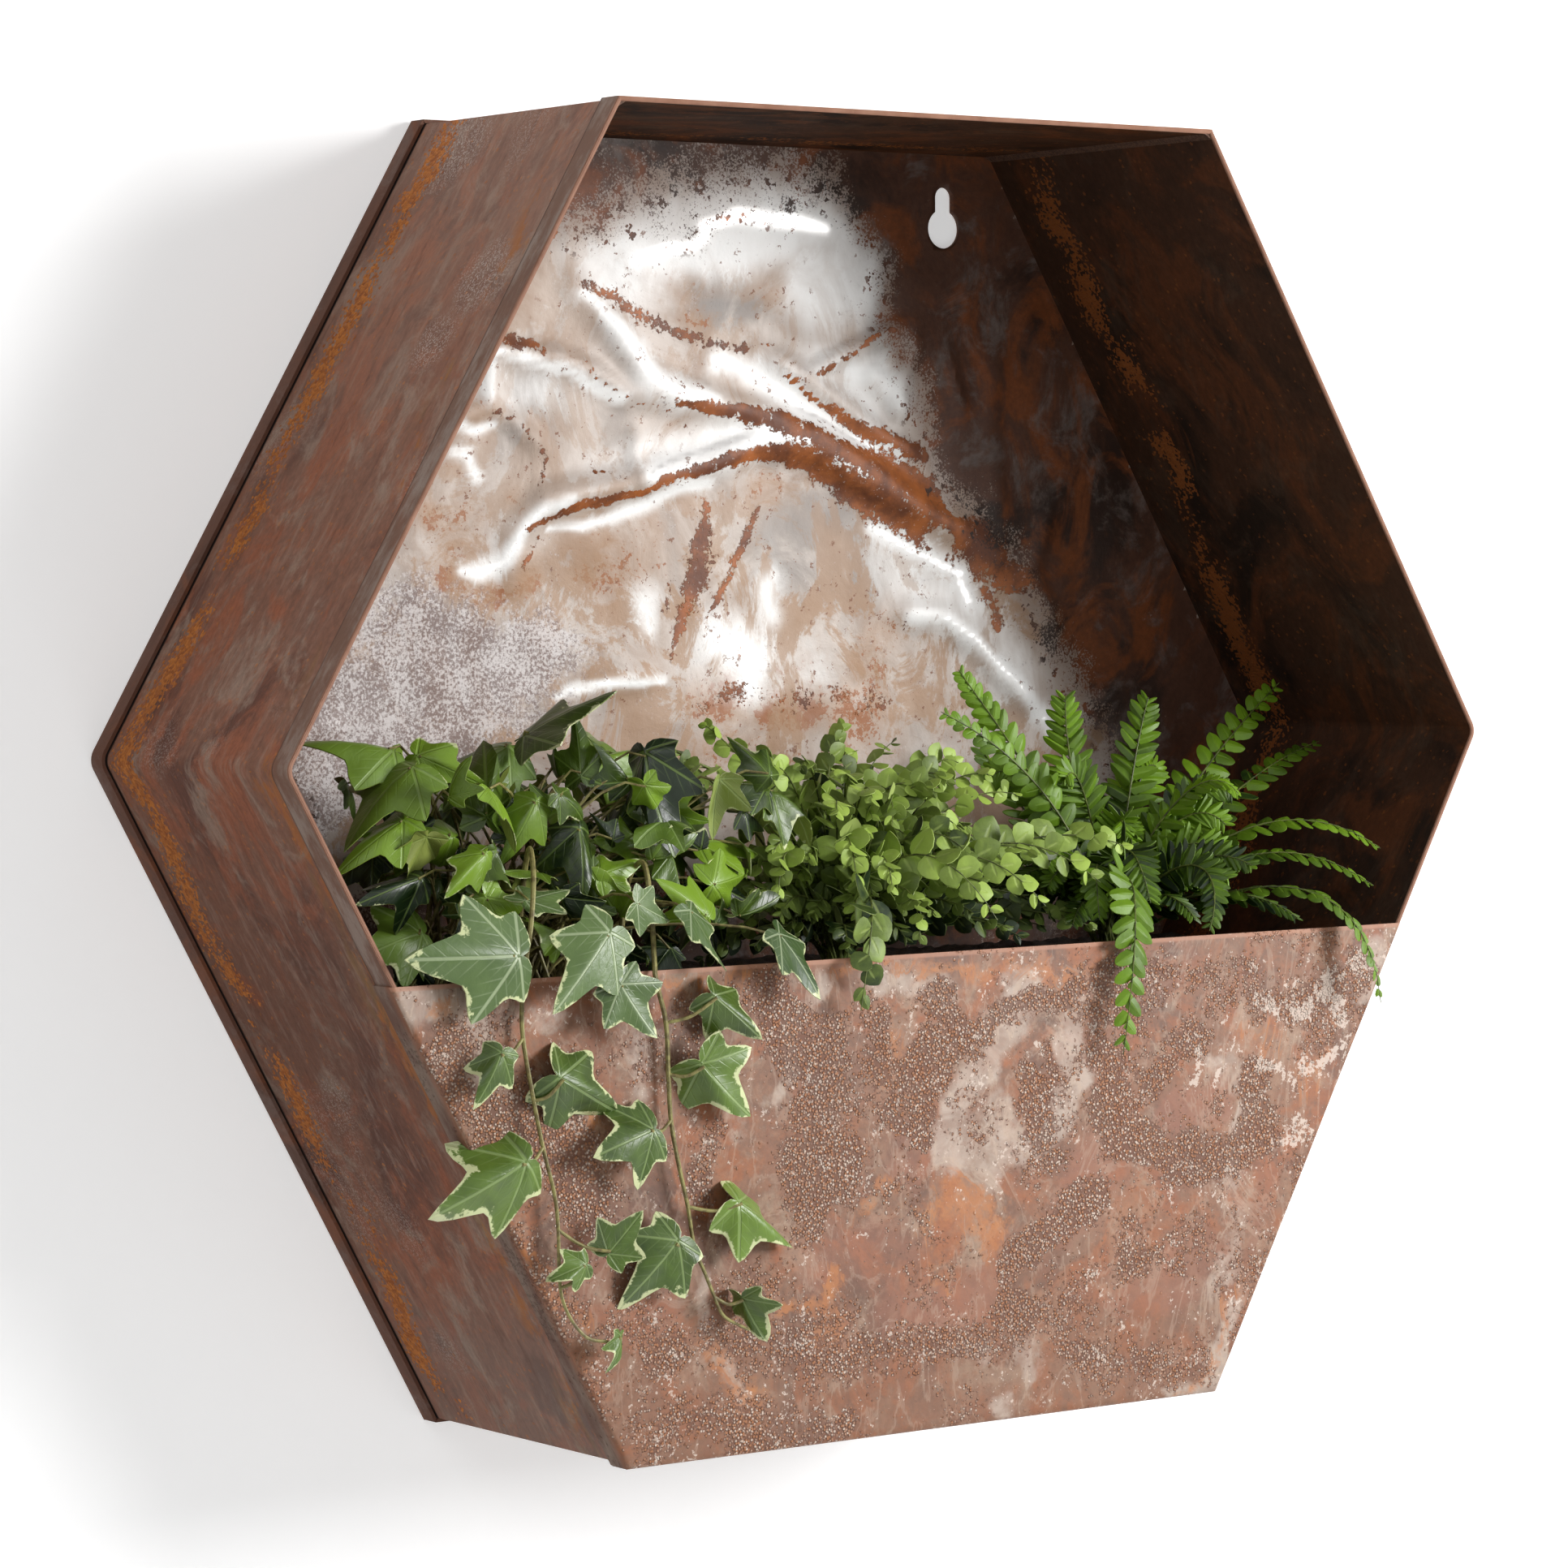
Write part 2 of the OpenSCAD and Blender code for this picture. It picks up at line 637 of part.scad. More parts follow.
// Sword fern fronds: two points that the curve leans to, its tip, the way it faces, and its
// share of the width
sword_fronds = [
    [[-22, -74, 50], [-52, -84, 86], [-70, -88, 111], front, 0.7],
    [[-20, -60, 42], [-52, -66, 76], [-92, -72, 94], front, 0.6],
    [[-2, -84, 40], [-10, -92, 70], [-10, -90, 99], front, 1],
    [[12, -78, 40], [24, -84, 76], [35, -88, 97], front, 0.95],
    [[34, -76, 46], [70, -84, 74], [113, -90, 102], front, 0.8],
    [[34, -64, 40], [78, -70, 66], [122, -74, 76], up_front, 0.7],
    [[30, -50, 44], [70, -30, 58], [98, -8, 32], up_front, 0.6],
    [[34, -46, 34], [66, -30, 42], [94, -8, 16], up_front, 0.6],
    [[34, -30, 26], [70, 14, 34], [76, 16, -32], up_front, 0.55],
    [[-26, -34, 40], [-52, 18, 40], [-62, 10, -46], straight, 0.95],
    [[10, -44, 42], [16, -10, 34], [-8, 2, 2], front, 0.7],
    [[-30, -44, 38], [-50, -24, 40], [-56, -12, 8], up_front, 0.8],
    [[-16, -50, 46], [-30, -20, 44], [-30, -10, 14], front, 0.9],
    [[6, -92, 34], [30, -110, 54], [56, -118, 66], up_front, 0.9],
    [[-10, -96, 34], [-22, -116, 58], [-30, -124, 76], up_front, 0.9]];
sword_tooth = [[0.25, 0.85], [0.8, 1]];
module sword_fern() {
    color("#4c8a2c") fern(sword_x, sword_fronds, sword_w, sword_pairs, sword_tooth);
}

// Button fern stems, in the same form
button_stems = [
    [[-40, -60, 60], [-66, -60, 84], [-92, -62, 72], up_front, 0.9],
    [[-24, -70, 56], [-44, -82, 80], [-60, -86, 92], front, 0.8],
    [[-8, -76, 50], [0, -84, 76], [14, -88, 90], front, 1],
    [[8, -80, 50], [24, -90, 74], [46, -94, 82], up_front, 0.8],
    [[10, -60, 52], [30, -50, 70], [44, -36, 36], up_front, 1],
    [[0, -50, 50], [16, -28, 60], [30, -16, 30], front, 0.9],
    [[-20, -50, 52], [-30, -26, 60], [-34, -16, 28], front, 1],
    [[-36, -54, 44], [-56, -36, 54], [-66, -26, 24], up_front, 0.9],
    [[-16, -30, 36], [-44, 14, 34], [-52, 10, -20], straight, 0.8],
    [[-8, -32, 36], [-8, -8, 34], [-16, 2, 4], front, 0.8],
    [[-6, -44, 54], [-4, -28, 76], [-10, -24, 50], front, 0.9],
    [[20, -96, 30], [36, -112, 44], [48, -120, 60], up_front, 0.9],
    [[-30, -84, 50], [-52, -100, 74], [-66, -106, 84], up_front, 0.8],
    [[24, -66, 44], [46, -64, 58], [60, -60, 44], up_front, 0.8],
    [[-14, -40, 44], [-18, -16, 50], [-22, -8, 24], front, 0.8],
    [[-4, -64, 56], [6, -50, 76], [22, -40, 62], front, 0.9],
    [[-24, -66, 58], [-36, -64, 78], [-46, -62, 60], front, 0.9]];
button_leaflet = [[0.1, 0.75], [0.75, 1]];
module button_fern() {
    color("#4f7f34") fern(button_x, button_stems, button_w, button_pairs, button_leaflet);
}

back_pan();
left_side_wall();
right_side_wall();
top_wall();
bottom_wall();
front_panel();
corner_welds();
drain_screens();
clay_pellets();
potting_soil();
ivy_root_ball();
button_fern_root_ball();
sword_fern_root_ball();
ivy_crown();
ivy_trail_left();
ivy_trail_right();
button_fern();
sword_fern();
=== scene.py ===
import math
import random

import bmesh
import bpy
from mathutils import Matrix, Quaternion, Vector, noise


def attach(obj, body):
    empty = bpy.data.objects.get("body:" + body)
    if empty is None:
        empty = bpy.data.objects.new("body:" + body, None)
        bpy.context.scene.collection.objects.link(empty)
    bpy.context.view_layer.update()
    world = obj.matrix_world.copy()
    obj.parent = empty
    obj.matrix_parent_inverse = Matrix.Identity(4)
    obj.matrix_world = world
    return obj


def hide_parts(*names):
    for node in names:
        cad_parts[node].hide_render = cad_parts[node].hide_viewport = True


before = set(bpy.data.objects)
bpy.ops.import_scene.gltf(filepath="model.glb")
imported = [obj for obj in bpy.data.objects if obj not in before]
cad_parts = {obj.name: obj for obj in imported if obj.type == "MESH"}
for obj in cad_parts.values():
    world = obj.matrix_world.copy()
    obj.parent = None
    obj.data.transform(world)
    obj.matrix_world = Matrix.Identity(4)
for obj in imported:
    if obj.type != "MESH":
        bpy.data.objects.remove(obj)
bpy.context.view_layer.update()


# Camera: a long lens to the planter's left, a little above its middle, turned very slightly
# about its own axis, as in the photograph.
camera_place = Vector((-1.2668, -1.7834, -0.1413))
camera_aim = Vector((0.0359, 0.0, -0.2400))
camera_roll = math.radians(-0.369)
camera_data = bpy.data.cameras.new("camera")
camera_data.lens = 118.27
camera_data.sensor_width = 36.0
camera = bpy.data.objects.new("camera", camera_data)
camera.location = camera_place
camera.rotation_mode = "QUATERNION"
camera.rotation_quaternion = (
    (camera_aim - camera_place).to_track_quat("-Z", "Y") @ Quaternion((0, 0, 1), camera_roll)
)
bpy.context.collection.objects.link(camera)
bpy.context.scene.camera = camera


# Wall, floor and light. The planter hangs on a white wall over a pale floor, lit by a soft lamp
# from the right, a weaker one from the left and the room. The wall is clear from behind and
# lets light through close to the planter, so that its back can be seen.
def nodes_of(owner):
    """An empty node tree for a material or a world."""
    owner.use_nodes = True
    owner.node_tree.nodes.clear()
    return owner.node_tree


def put(tree, kind, inputs=None, **settings):
    """Adds a node. Each input is a value, or the socket that feeds it."""
    made = tree.nodes.new(kind)
    for name, value in settings.items():
        setattr(made, name, value)
    for key, value in (inputs or {}).items():
        if isinstance(value, bpy.types.NodeSocket):
            tree.links.new(value, made.inputs[key])
        else:
            made.inputs[key].default_value = value
    return made


def tree_of(*values):
    """The node tree of the first socket among some values."""
    return next(v.id_data for v in values if isinstance(v, bpy.types.NodeSocket))


def calc(operation, a, b=0.0, c=0.0, clamp=False):
    """One sum on two or three numbers, of which one or more come from sockets."""
    made = put(tree_of(a, b, c), "ShaderNodeMath", {0: a, 1: b, 2: c}, operation=operation, use_clamp=clamp)
    return made.outputs[0]


def times(a, b):
    """One number times another."""
    return calc("MULTIPLY", a, b)


def scaled(value, by, plus):
    """A number times a second one, plus a third."""
    return calc("MULTIPLY_ADD", value, by, plus)


def higher(a, b):
    """The higher of two numbers."""
    return calc("MAXIMUM", a, b)


def seen_as_white(tree):
    """1 for rays from the camera, from gloss and through glass, and 0 for lighting rays."""
    path = put(tree, "ShaderNodeLightPath")
    straight = higher(path.outputs["Is Camera Ray"], path.outputs["Is Glossy Ray"])
    return higher(straight, path.outputs["Is Transmission Ray"])


clear_within = 0.03


def backdrop_material(name, glow, clear_behind):
    """A pale surface that shows white where no shadow falls on it."""
    made = bpy.data.materials.new(name)
    tree = nodes_of(made)
    plain = put(tree, "ShaderNodeBsdfDiffuse", {"Color": (0.8, 0.8, 0.8, 1.0)})
    lift = put(tree, "ShaderNodeEmission",
               {"Color": (1.0, 1.0, 1.0, 1.0), "Strength": times(seen_as_white(tree), glow)})
    both = put(tree, "ShaderNodeAddShader", {0: plain.outputs[0], 1: lift.outputs[0]})
    shader = both.outputs[0]
    if clear_behind:
        behind = put(tree, "ShaderNodeNewGeometry").outputs["Backfacing"]
        path = put(tree, "ShaderNodeLightPath")
        close = calc("LESS_THAN", path.outputs["Ray Length"], clear_within)
        close = calc("SUBTRACT", close, path.outputs["Is Camera Ray"], clamp=True)
        clear = put(tree, "ShaderNodeBsdfTransparent")
        unseen = higher(behind, close)
        shader = put(tree, "ShaderNodeMixShader", {0: unseen, 1: shader, 2: clear.outputs[0]}).outputs[0]
    put(tree, "ShaderNodeOutputMaterial", {"Surface": shader})
    return made


def flat_stage(name, corners, material):
    """A flat backdrop from its four corners."""
    shape = bmesh.new()
    shape.faces.new([shape.verts.new(c) for c in corners])
    mesh = bpy.data.meshes.new(name)
    shape.to_mesh(mesh)
    shape.free()
    mesh.materials.append(material)
    made = bpy.data.objects.new(name, mesh)
    bpy.context.collection.objects.link(made)


stage_half = 6.0
wall_gap = 0.0006
floor_z = -1.6
flat_stage("wall", [(-stage_half, wall_gap, floor_z), (stage_half, wall_gap, floor_z),
                    (stage_half, wall_gap, stage_half), (-stage_half, wall_gap, stage_half)],
           backdrop_material("wall paint", 0.41, True))
flat_stage("floor", [(-stage_half, wall_gap, floor_z), (-stage_half, -stage_half, floor_z),
                     (stage_half, -stage_half, floor_z), (stage_half, wall_gap, floor_z)],
           backdrop_material("floor paint", 0.62, False))

world = bpy.data.worlds.new("room")
bpy.context.scene.world = world
world_tree = nodes_of(world)
room_light = 0.31
room_strength = scaled(seen_as_white(world_tree), 1.0 - room_light, room_light)
room = put(world_tree, "ShaderNodeBackground", {"Color": (1.0, 1.0, 1.0, 1.0), "Strength": room_strength})
put(world_tree, "ShaderNodeOutputWorld", {"Surface": room.outputs[0]})


def lamp(name, place, aim, size, power):
    """A square soft lamp."""
    data = bpy.data.lights.new(name, "AREA")
    data.shape = "SQUARE"
    data.size = size
    data.energy = power
    made = bpy.data.objects.new(name, data)
    made.location = place
    made.rotation_mode = "QUATERNION"
    made.rotation_quaternion = (Vector(aim) - Vector(place)).to_track_quat("-Z", "Y")
    bpy.context.collection.objects.link(made)


lamp("key lamp", (1.75, -2.0, 0.3), (0.0, 0.0, -0.2), 1.0, 80.0)
lamp("fill lamp", (-1.9, -1.5, 1.4), (0.0, 0.0, -0.1), 1.6, 12.0)
bpy.context.scene.view_settings.view_transform = "Standard"


# Walls: the side walls, the top and the bottom are strips of 1 mm weathering steel, hemmed
# along the front edge. Rain has streaked them brown and mauve, with a chain of granular
# orange rust along each side wall. Their inside faces are painted near-black brown, as shade
# in the niche over their rust. Their outsides are painted lighter towards the top and darker
# on the lower walls, as painted light and shade. A near-black line along the back pan's lip
# is a painted shadow.
def effect(name, takes, gives):
    """An empty node group: its tree, the sockets it takes, and the sockets it fills."""
    tree = bpy.data.node_groups.new(name, "ShaderNodeTree")
    kinds = {float: "NodeSocketFloat", tuple: "NodeSocketColor", Vector: "NodeSocketVector"}
    for key, start in takes.items():
        socket = tree.interface.new_socket(key, in_out="INPUT", socket_type=kinds[type(start)])
        socket.default_value = start
    for key, kind in gives.items():
        tree.interface.new_socket(key, in_out="OUTPUT", socket_type=kinds[kind])
    return tree, tree.nodes.new("NodeGroupInput").outputs, tree.nodes.new("NodeGroupOutput").inputs


def rgb(red, green, blue):
    """A colour written in the 0 to 255 of a picture, as Blender's linear colour."""
    return tuple(
        (v / 255 / 12.92 if v / 255 <= 0.04045 else ((v / 255 + 0.055) / 1.055) ** 2.4)
        for v in (red, green, blue)
    ) + (1.0,)


def cloud(where, scale, detail=6.0, rough=0.6, swirl=0.0):
    """Soft noise between 0 and 1."""
    made = put(tree_of(where), "ShaderNodeTexNoise",
               {"Vector": where, "Scale": scale, "Detail": detail, "Roughness": rough, "Distortion": swirl})
    return made.outputs[0]


def rise(value, low, high):
    """0 up to low, 1 from high, and smooth between them."""
    made = put(tree_of(value), "ShaderNodeMapRange", {"Value": value, "From Min": low, "From Max": high},
               interpolation_type="SMOOTHSTEP")
    return made.outputs[0]


def tinted(amount, under, over):
    """One colour laid over another."""
    made = put(tree_of(amount, under, over), "ShaderNodeMix", {0: amount, 6: under, 7: over},
               data_type="RGBA")
    return made.outputs[2]


def wash(colour, cover, strength, shade):
    """A colour with a shade laid over it where it is covered, at some strength."""
    return tinted(times(cover, strength), colour, rgb(*shade))


def stretched(where, scale=(1, 1, 1), shift=(0, 0, 0)):
    """The place where a pattern is read, stretched and moved."""
    made = put(tree_of(where), "ShaderNodeMapping", {"Vector": where, "Scale": scale, "Location": shift})
    return made.outputs[0]


def coordinate(where, axis):
    """One coordinate of a place or a direction."""
    return put(tree_of(where), "ShaderNodeSeparateXYZ", {0: where}).outputs[axis]


def vector_calc(operation, a, b, output=0):
    """One sum on two places, directions or colours."""
    made = put(tree_of(a, b), "ShaderNodeVectorMath", {0: a, 1: b}, operation=operation)
    return made.outputs[output]


def object_place(tree):
    """The place on the piece that is shaded."""
    return put(tree, "ShaderNodeTexCoord").outputs["Object"]


def surface_way(tree):
    """The direction that the surface faces."""
    return put(tree, "ShaderNodeNewGeometry").outputs["Normal"]


def hollow(value, middle, half):
    """1 in a band round a middle value, and 0 beyond half to each side."""
    return rise(calc("ABSOLUTE", calc("SUBTRACT", value, middle)), half, 0.0)


def spots(where, rows):
    """1 at each of several places, falling to 0 at its reach. Each row is a place and a reach."""
    strongest = 0.0
    for place, reach in rows:
        strongest = higher(strongest, rise(vector_calc("DISTANCE", where, place, "Value"), reach, 0.0))
    return strongest


grains, into, out = effect(
    "rust grains", {"Vector": Vector(), "Scale": 480.0, "Cover": 0.5},
    {"Mask": float, "Crown": float, "Chance": float})
cells = put(grains, "ShaderNodeTexVoronoi", {"Vector": into["Vector"], "Scale": into["Scale"]})
odds = coordinate(cells.outputs["Color"], 0)
covered = rise(calc("SUBTRACT", into["Cover"], odds), -0.04, 0.04)
grains.links.new(covered, out["Mask"])
grains.links.new(rise(cells.outputs["Distance"], 0.66, 0.28), out["Crown"])
grains.links.new(coordinate(cells.outputs["Color"], 1), out["Chance"])

patina, into, out = effect(
    "steel patina",
    {"Vector": Vector(), "Scale": 14.0, "Deep": (0.0, 0.0, 0.0, 1.0), "Base": (0.0, 0.0, 0.0, 1.0),
     "Warm": (0.0, 0.0, 0.0, 1.0), "Pale": (0.0, 0.0, 0.0, 1.0), "Pale amount": 0.7},
    {"Color": tuple, "Grain": float})
broad = cloud(into["Vector"], into["Scale"], 9.0, 0.62, 0.8)
second = cloud(stretched(into["Vector"], shift=(3.1, 1.7, 5.3)), times(into["Scale"], 1.7), 9.0, 0.66, 1.4)
third = cloud(stretched(into["Vector"], shift=(-2.3, 4.1, 0.7)), times(into["Scale"], 2.9), 8.0, 0.7, 0.6)
fine = cloud(into["Vector"], times(into["Scale"], 26.0), 4.0, 0.7)
shade = tinted(rise(broad, 0.53, 0.38), into["Base"], into["Deep"])
shade = tinted(rise(second, 0.47, 0.62), shade, into["Warm"])
pale = times(rise(third, 0.5, 0.66), into["Pale amount"])
shade = tinted(pale, shade, into["Pale"])
speck = scaled(rise(fine, 0.3, 0.7), 0.34, 0.83)
shade = vector_calc("MULTIPLY", shade, speck)
patina.links.new(shade, out["Color"])
patina.links.new(scaled(fine, 0.4, broad), out["Grain"])


def steel(colour, roughness, metallic, height, depth, gloss=0.5):
    """The shader of a surface, with its relief."""
    tree = tree_of(height)
    relief = put(tree, "ShaderNodeBump", {"Height": height, "Distance": depth, "Strength": 1.0})
    skin = put(tree, "ShaderNodeBsdfPrincipled",
               {"Base Color": colour, "Roughness": roughness, "Metallic": metallic,
                "Specular IOR Level": gloss, "Normal": relief.outputs[0]})
    put(tree, "ShaderNodeOutputMaterial", {"Surface": skin.outputs[0]})


def rust_skin(where, scale, shades, pale_amount):
    """The patina in its four shades: deep, base, warm and pale."""
    inputs = {key: rgb(*shade) for key, shade in zip(("Deep", "Base", "Warm", "Pale"), shades)}
    inputs.update({"Vector": where, "Scale": scale, "Pale amount": pale_amount})
    return put(tree_of(where), "ShaderNodeGroup", inputs, node_tree=patina)


hem_line = -0.138
chain_y = -0.028
lip_line = -0.0106
front_y = -0.1494
case_centre = (0.0, 0.0, -0.22)
fleck_places = (((-0.1906, -0.1138, -0.0341), 0.034), ((-0.2051, -0.1014, -0.0587), 0.026),
                ((-0.158, -0.046, 0.021), 0.04))


def wall_steel(name, chain, gloss):
    """Weathered wall sheet. chain says how strong its orange rust is, gloss how it shines."""
    made = bpy.data.materials.new(name)
    tree = nodes_of(made)
    where = object_place(tree)
    facing = surface_way(tree)
    away = vector_calc("SUBTRACT", where, case_centre)
    flat = vector_calc("MULTIPLY", facing, (1.0, 0.0, 1.0))
    outward = vector_calc("DOT_PRODUCT", away, flat, "Value")
    outside = rise(outward, -0.01, 0.01)
    depth = coordinate(where, 1)
    along = stretched(where, (1.0, 1.5, 1.0))
    skin = rust_skin(along, 11.0, ((92, 57, 45), (128, 89, 72), (146, 88, 63), (152, 130, 115)), 0.75)
    streak = cloud(stretched(where, (1.0, 5.0, 1.0)), 9.0, 4.0, 0.5)
    high = rise(coordinate(where, 2), -0.12, 0.0)
    streaky = times(rise(streak, 0.5, 0.7), scaled(high, 0.6, 0.2))
    colour = tinted(streaky, skin.outputs["Color"], rgb(138, 86, 64))
    broad = cloud(where, 5.0, 3.0, 0.5)
    colour = wash(colour, rise(broad, 0.5, 0.62), 0.4, (104, 84, 78))
    # Painted light and shade: the walls are lighter towards the top and darker on the lower walls. They are
    # greyer at the very bottom.
    level = coordinate(where, 2)
    uneven = scaled(cloud(where, 18.0, 6.0, 0.65), 0.8, 0.2)
    colour = wash(colour, rise(level, -0.17, 0.03), times(uneven, 0.75), (156, 124, 108))
    colour = wash(colour, hollow(level, -0.32, 0.13), times(uneven, 0.75), (74, 50, 40))
    colour = wash(colour, rise(level, -0.4, -0.47), times(uneven, 0.7), (124, 110, 102))
    scratch = cloud(stretched(where, (1.0, 6.0, 1.0), (3.0, 5.0, 8.0)), 30.0, 8.0, 0.72)
    colour = wash(colour, rise(scratch, 0.52, 0.68), 0.4, (160, 134, 118))
    colour = wash(colour, rise(scratch, 0.46, 0.34), 0.35, (76, 46, 36))
    grit = spots(where, fleck_places)
    broken = calc("ADD", grit, scaled(cloud(where, 60.0, 5.0, 0.7), 1.2, -0.6))
    grit = times(rise(broken, 0.25, 0.7), grit)
    drift = rise(cloud(stretched(where, shift=(1.0, 8.0, 4.0)), 13.0, 5.0), 0.55, 0.68)
    grit = higher(grit, times(drift, 0.5))
    flecks = times(rise(cloud(where, 1100.0, 3.0, 0.7), 0.5, 0.6), grit)
    colour = wash(colour, flecks, 0.8, (186, 172, 162))
    run = cloud(stretched(where, (1.0, 2.2, 1.0), (9.0, 1.0, 2.0)), 15.0, 9.0, 0.74)
    run = times(rise(run, 0.54, 0.6), hollow(depth, -0.129, 0.015))
    colour = wash(colour, run, 0.75, (160, 98, 46))
    olive = cloud(stretched(where, (1.0, 3.0, 1.0), (7.0, 2.0, 1.0)), 11.0, 4.0)
    olive = times(rise(olive, 0.55, 0.72), hollow(depth, -0.127, 0.016))
    colour = wash(colour, olive, 0.7, (146, 116, 66))
    # Inside faces take a near-black brown patina: painted shade in the niche, over their rust.
    dim = rust_skin(along, 9.0, ((34, 22, 15), (62, 39, 26), (84, 48, 27), (78, 62, 50)), 0.4)
    colour = tinted(outside, dim.outputs["Color"], colour)
    wander = scaled(cloud(stretched(where, (1, 0, 1)), 16.0, 3.0), 0.04, -0.02)
    line = calc("ADD", depth, wander)
    patchy = rise(cloud(where, 26.0, 4.0), 0.38, 0.56)
    cover = times(hollow(line, chain_y, 0.013), patchy)
    cover = times(cover, chain)
    beads = put(tree, "ShaderNodeGroup", {"Vector": where, "Scale": 760.0, "Cover": cover},
                node_tree=grains)
    orange = tinted(beads.outputs["Chance"], rgb(196, 120, 52), rgb(144, 80, 38))
    orange = tinted(outside, rgb(140, 82, 40), orange)
    colour = tinted(times(beads.outputs["Mask"], 0.95), colour, orange)
    hem = times(rise(depth, hem_line + 0.001, hem_line), outside)
    grey = tinted(rise(cloud(stretched(where, (1.0, 3.0, 1.0)), 34.0, 7.0, 0.7), 0.38, 0.6),
                  rgb(146, 132, 122), rgb(112, 84, 70))
    colour = tinted(times(hem, 0.8), colour, grey)
    seam = times(hollow(depth, hem_line, 0.0012), outside)
    colour = wash(colour, seam, 0.8, (58, 38, 28))
    # A near-black line where the back pan's lip ends on the wall: painted shadow in the gap between them.
    gap = times(rise(depth, lip_line - 0.0012, lip_line), outside)
    colour = tinted(gap, colour, rgb(20, 12, 9))
    edge = rise(depth, front_y + 0.0005, front_y)
    rubbed = tinted(cloud(where, 60.0, 5.0), rgb(112, 72, 54), rgb(186, 144, 122))
    colour = tinted(edge, colour, rubbed)
    rough = scaled(skin.outputs["Grain"], 0.2, 0.6)
    height = scaled(times(beads.outputs["Mask"], beads.outputs["Crown"]), 0.5, skin.outputs["Grain"])
    steel(colour, rough, 0.0, height, 0.0005, gloss)
    return made


def dress(material, *names):
    """Gives CAD nodes a material."""
    for name in names:
        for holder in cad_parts[name].material_slots:
            holder.material = material


dress(wall_steel("side wall steel", 1.0, 0.2), "left_side_wall", "right_side_wall")
dress(wall_steel("level wall steel", 0.35, 0.05), "top_wall", "bottom_wall")


# Back pan: one sheet with its lip folded forwards all round. Inside the niche it is dented and
# creased, and worn to bright steel between brown rust along the top and the right. Painted
# highlights lie along the creases and at the top, and the dark brown along the top and the
# right is also painted shadow of the top and right walls. The back face is painted a lighter
# brown, in place of light that hardly reaches it. Two keyholes are cut through it, and its
# lips are slit at the four sharp corners.
import numpy as np

half_w, half_flat, case_h, case_d = 0.300, 0.150, 0.530, 0.150
mid_z, side_rise, bend_r = -0.230, 0.010, 0.008
sharp_half = half_w + bend_r * (1 / math.cos(math.radians(30)) - 1)
upper_turn = math.atan2(case_h / 2 - side_rise, sharp_half - half_flat)
lower_turn = math.atan2(case_h / 2 + side_rise, sharp_half - half_flat)
bend_steps = 6
coarse_step = 0.012
sharp_from = math.radians(35)
sheet_t = 0.0015
fold_r, fold_steps = 0.0018, 4
slit_half, slit_reach, corner_reach = 0.0004, 0.004, 0.02
hair = 0.00002


def case_outline(inset):
    """The case's outline at an inset from its outside, clockwise from the top right corner."""
    both = math.sin(upper_turn + lower_turn)

    def side_corner(depth):
        return Vector((
            sharp_half - depth * (math.cos(lower_turn) + math.cos(upper_turn)) / both,
            mid_z + side_rise + depth * (math.sin(upper_turn) - math.sin(lower_turn)) / both))

    right = [Vector((half_flat - inset * math.tan(upper_turn / 2), mid_z + case_h / 2 - inset))]
    for step in range(bend_steps + 1):
        turn = math.pi / 2 - upper_turn + (upper_turn + lower_turn - math.pi) * step / bend_steps
        right.append(side_corner(bend_r) + (bend_r - inset) * Vector((math.cos(turn), math.sin(turn))))
    right.append(Vector((half_flat - inset * math.tan(lower_turn / 2), mid_z - case_h / 2 + inset)))
    return right + [Vector((-p.x, p.y)) for p in reversed(right)]


def cut_to_outline(shape, inset):
    """Cuts a flat sheet that faces the front to the case's outline."""
    points = case_outline(inset)
    for here, there in zip(points, points[1:] + points[:1]):
        way = (there - here).normalized()
        bmesh.ops.bisect_plane(shape, geom=shape.verts[:] + shape.edges[:] + shape.faces[:],
                               plane_co=(here.x, 0, here.y), plane_no=(-way.y, 0, way.x),
                               clear_outer=True)


def sheet_grid(shape, step, at_y, fine_low, fine_high):
    """A flat grid across the case that faces the front, fine between two heights."""
    low = mid_z - case_h / 2 - 0.001
    levels = [*np.arange(low, fine_low, coarse_step), *np.arange(fine_low, fine_high, step), fine_high]
    bmesh.ops.create_grid(shape, x_segments=round(2 * half_w / step) + 1, y_segments=len(levels) - 1,
                          size=0.5, matrix=Matrix.Rotation(math.pi / 2, 4, "X"))
    for vert in shape.verts:
        row = round((vert.co.z + 0.5) * (len(levels) - 1))
        vert.co = (vert.co.x * (2 * half_w + 0.004), at_y, levels[row])


def outline_sides():
    """The outline's straight sides: a corner and the outward direction of each."""
    points = case_outline(0.0)
    sides = []
    for here, there in zip(points, points[1:] + points[:1]):
        way = (there - here).normalized()
        sides.append((Vector((here.x, 0, here.y)), Vector((-way.y, 0, way.x))))
    return sides


def outward_way(place, inset, sides, level):
    """How a point on the outline at an inset moves out as the inset shrinks. A point at the
    given level keeps its height."""
    ways = [way for corner, way in sides if abs((place - corner).dot(way) + inset) < 3e-5]
    if abs(place.z - level) < 1e-6:
        return Vector((1 / ways[0].x, 0, 0))
    both = ways[0] + ways[-1]
    return both * (2 / both.length_squared)


def verts_of(parts):
    """The vertices among the parts of a bmesh."""
    return [v for v in parts if isinstance(v, bmesh.types.BMVert)]


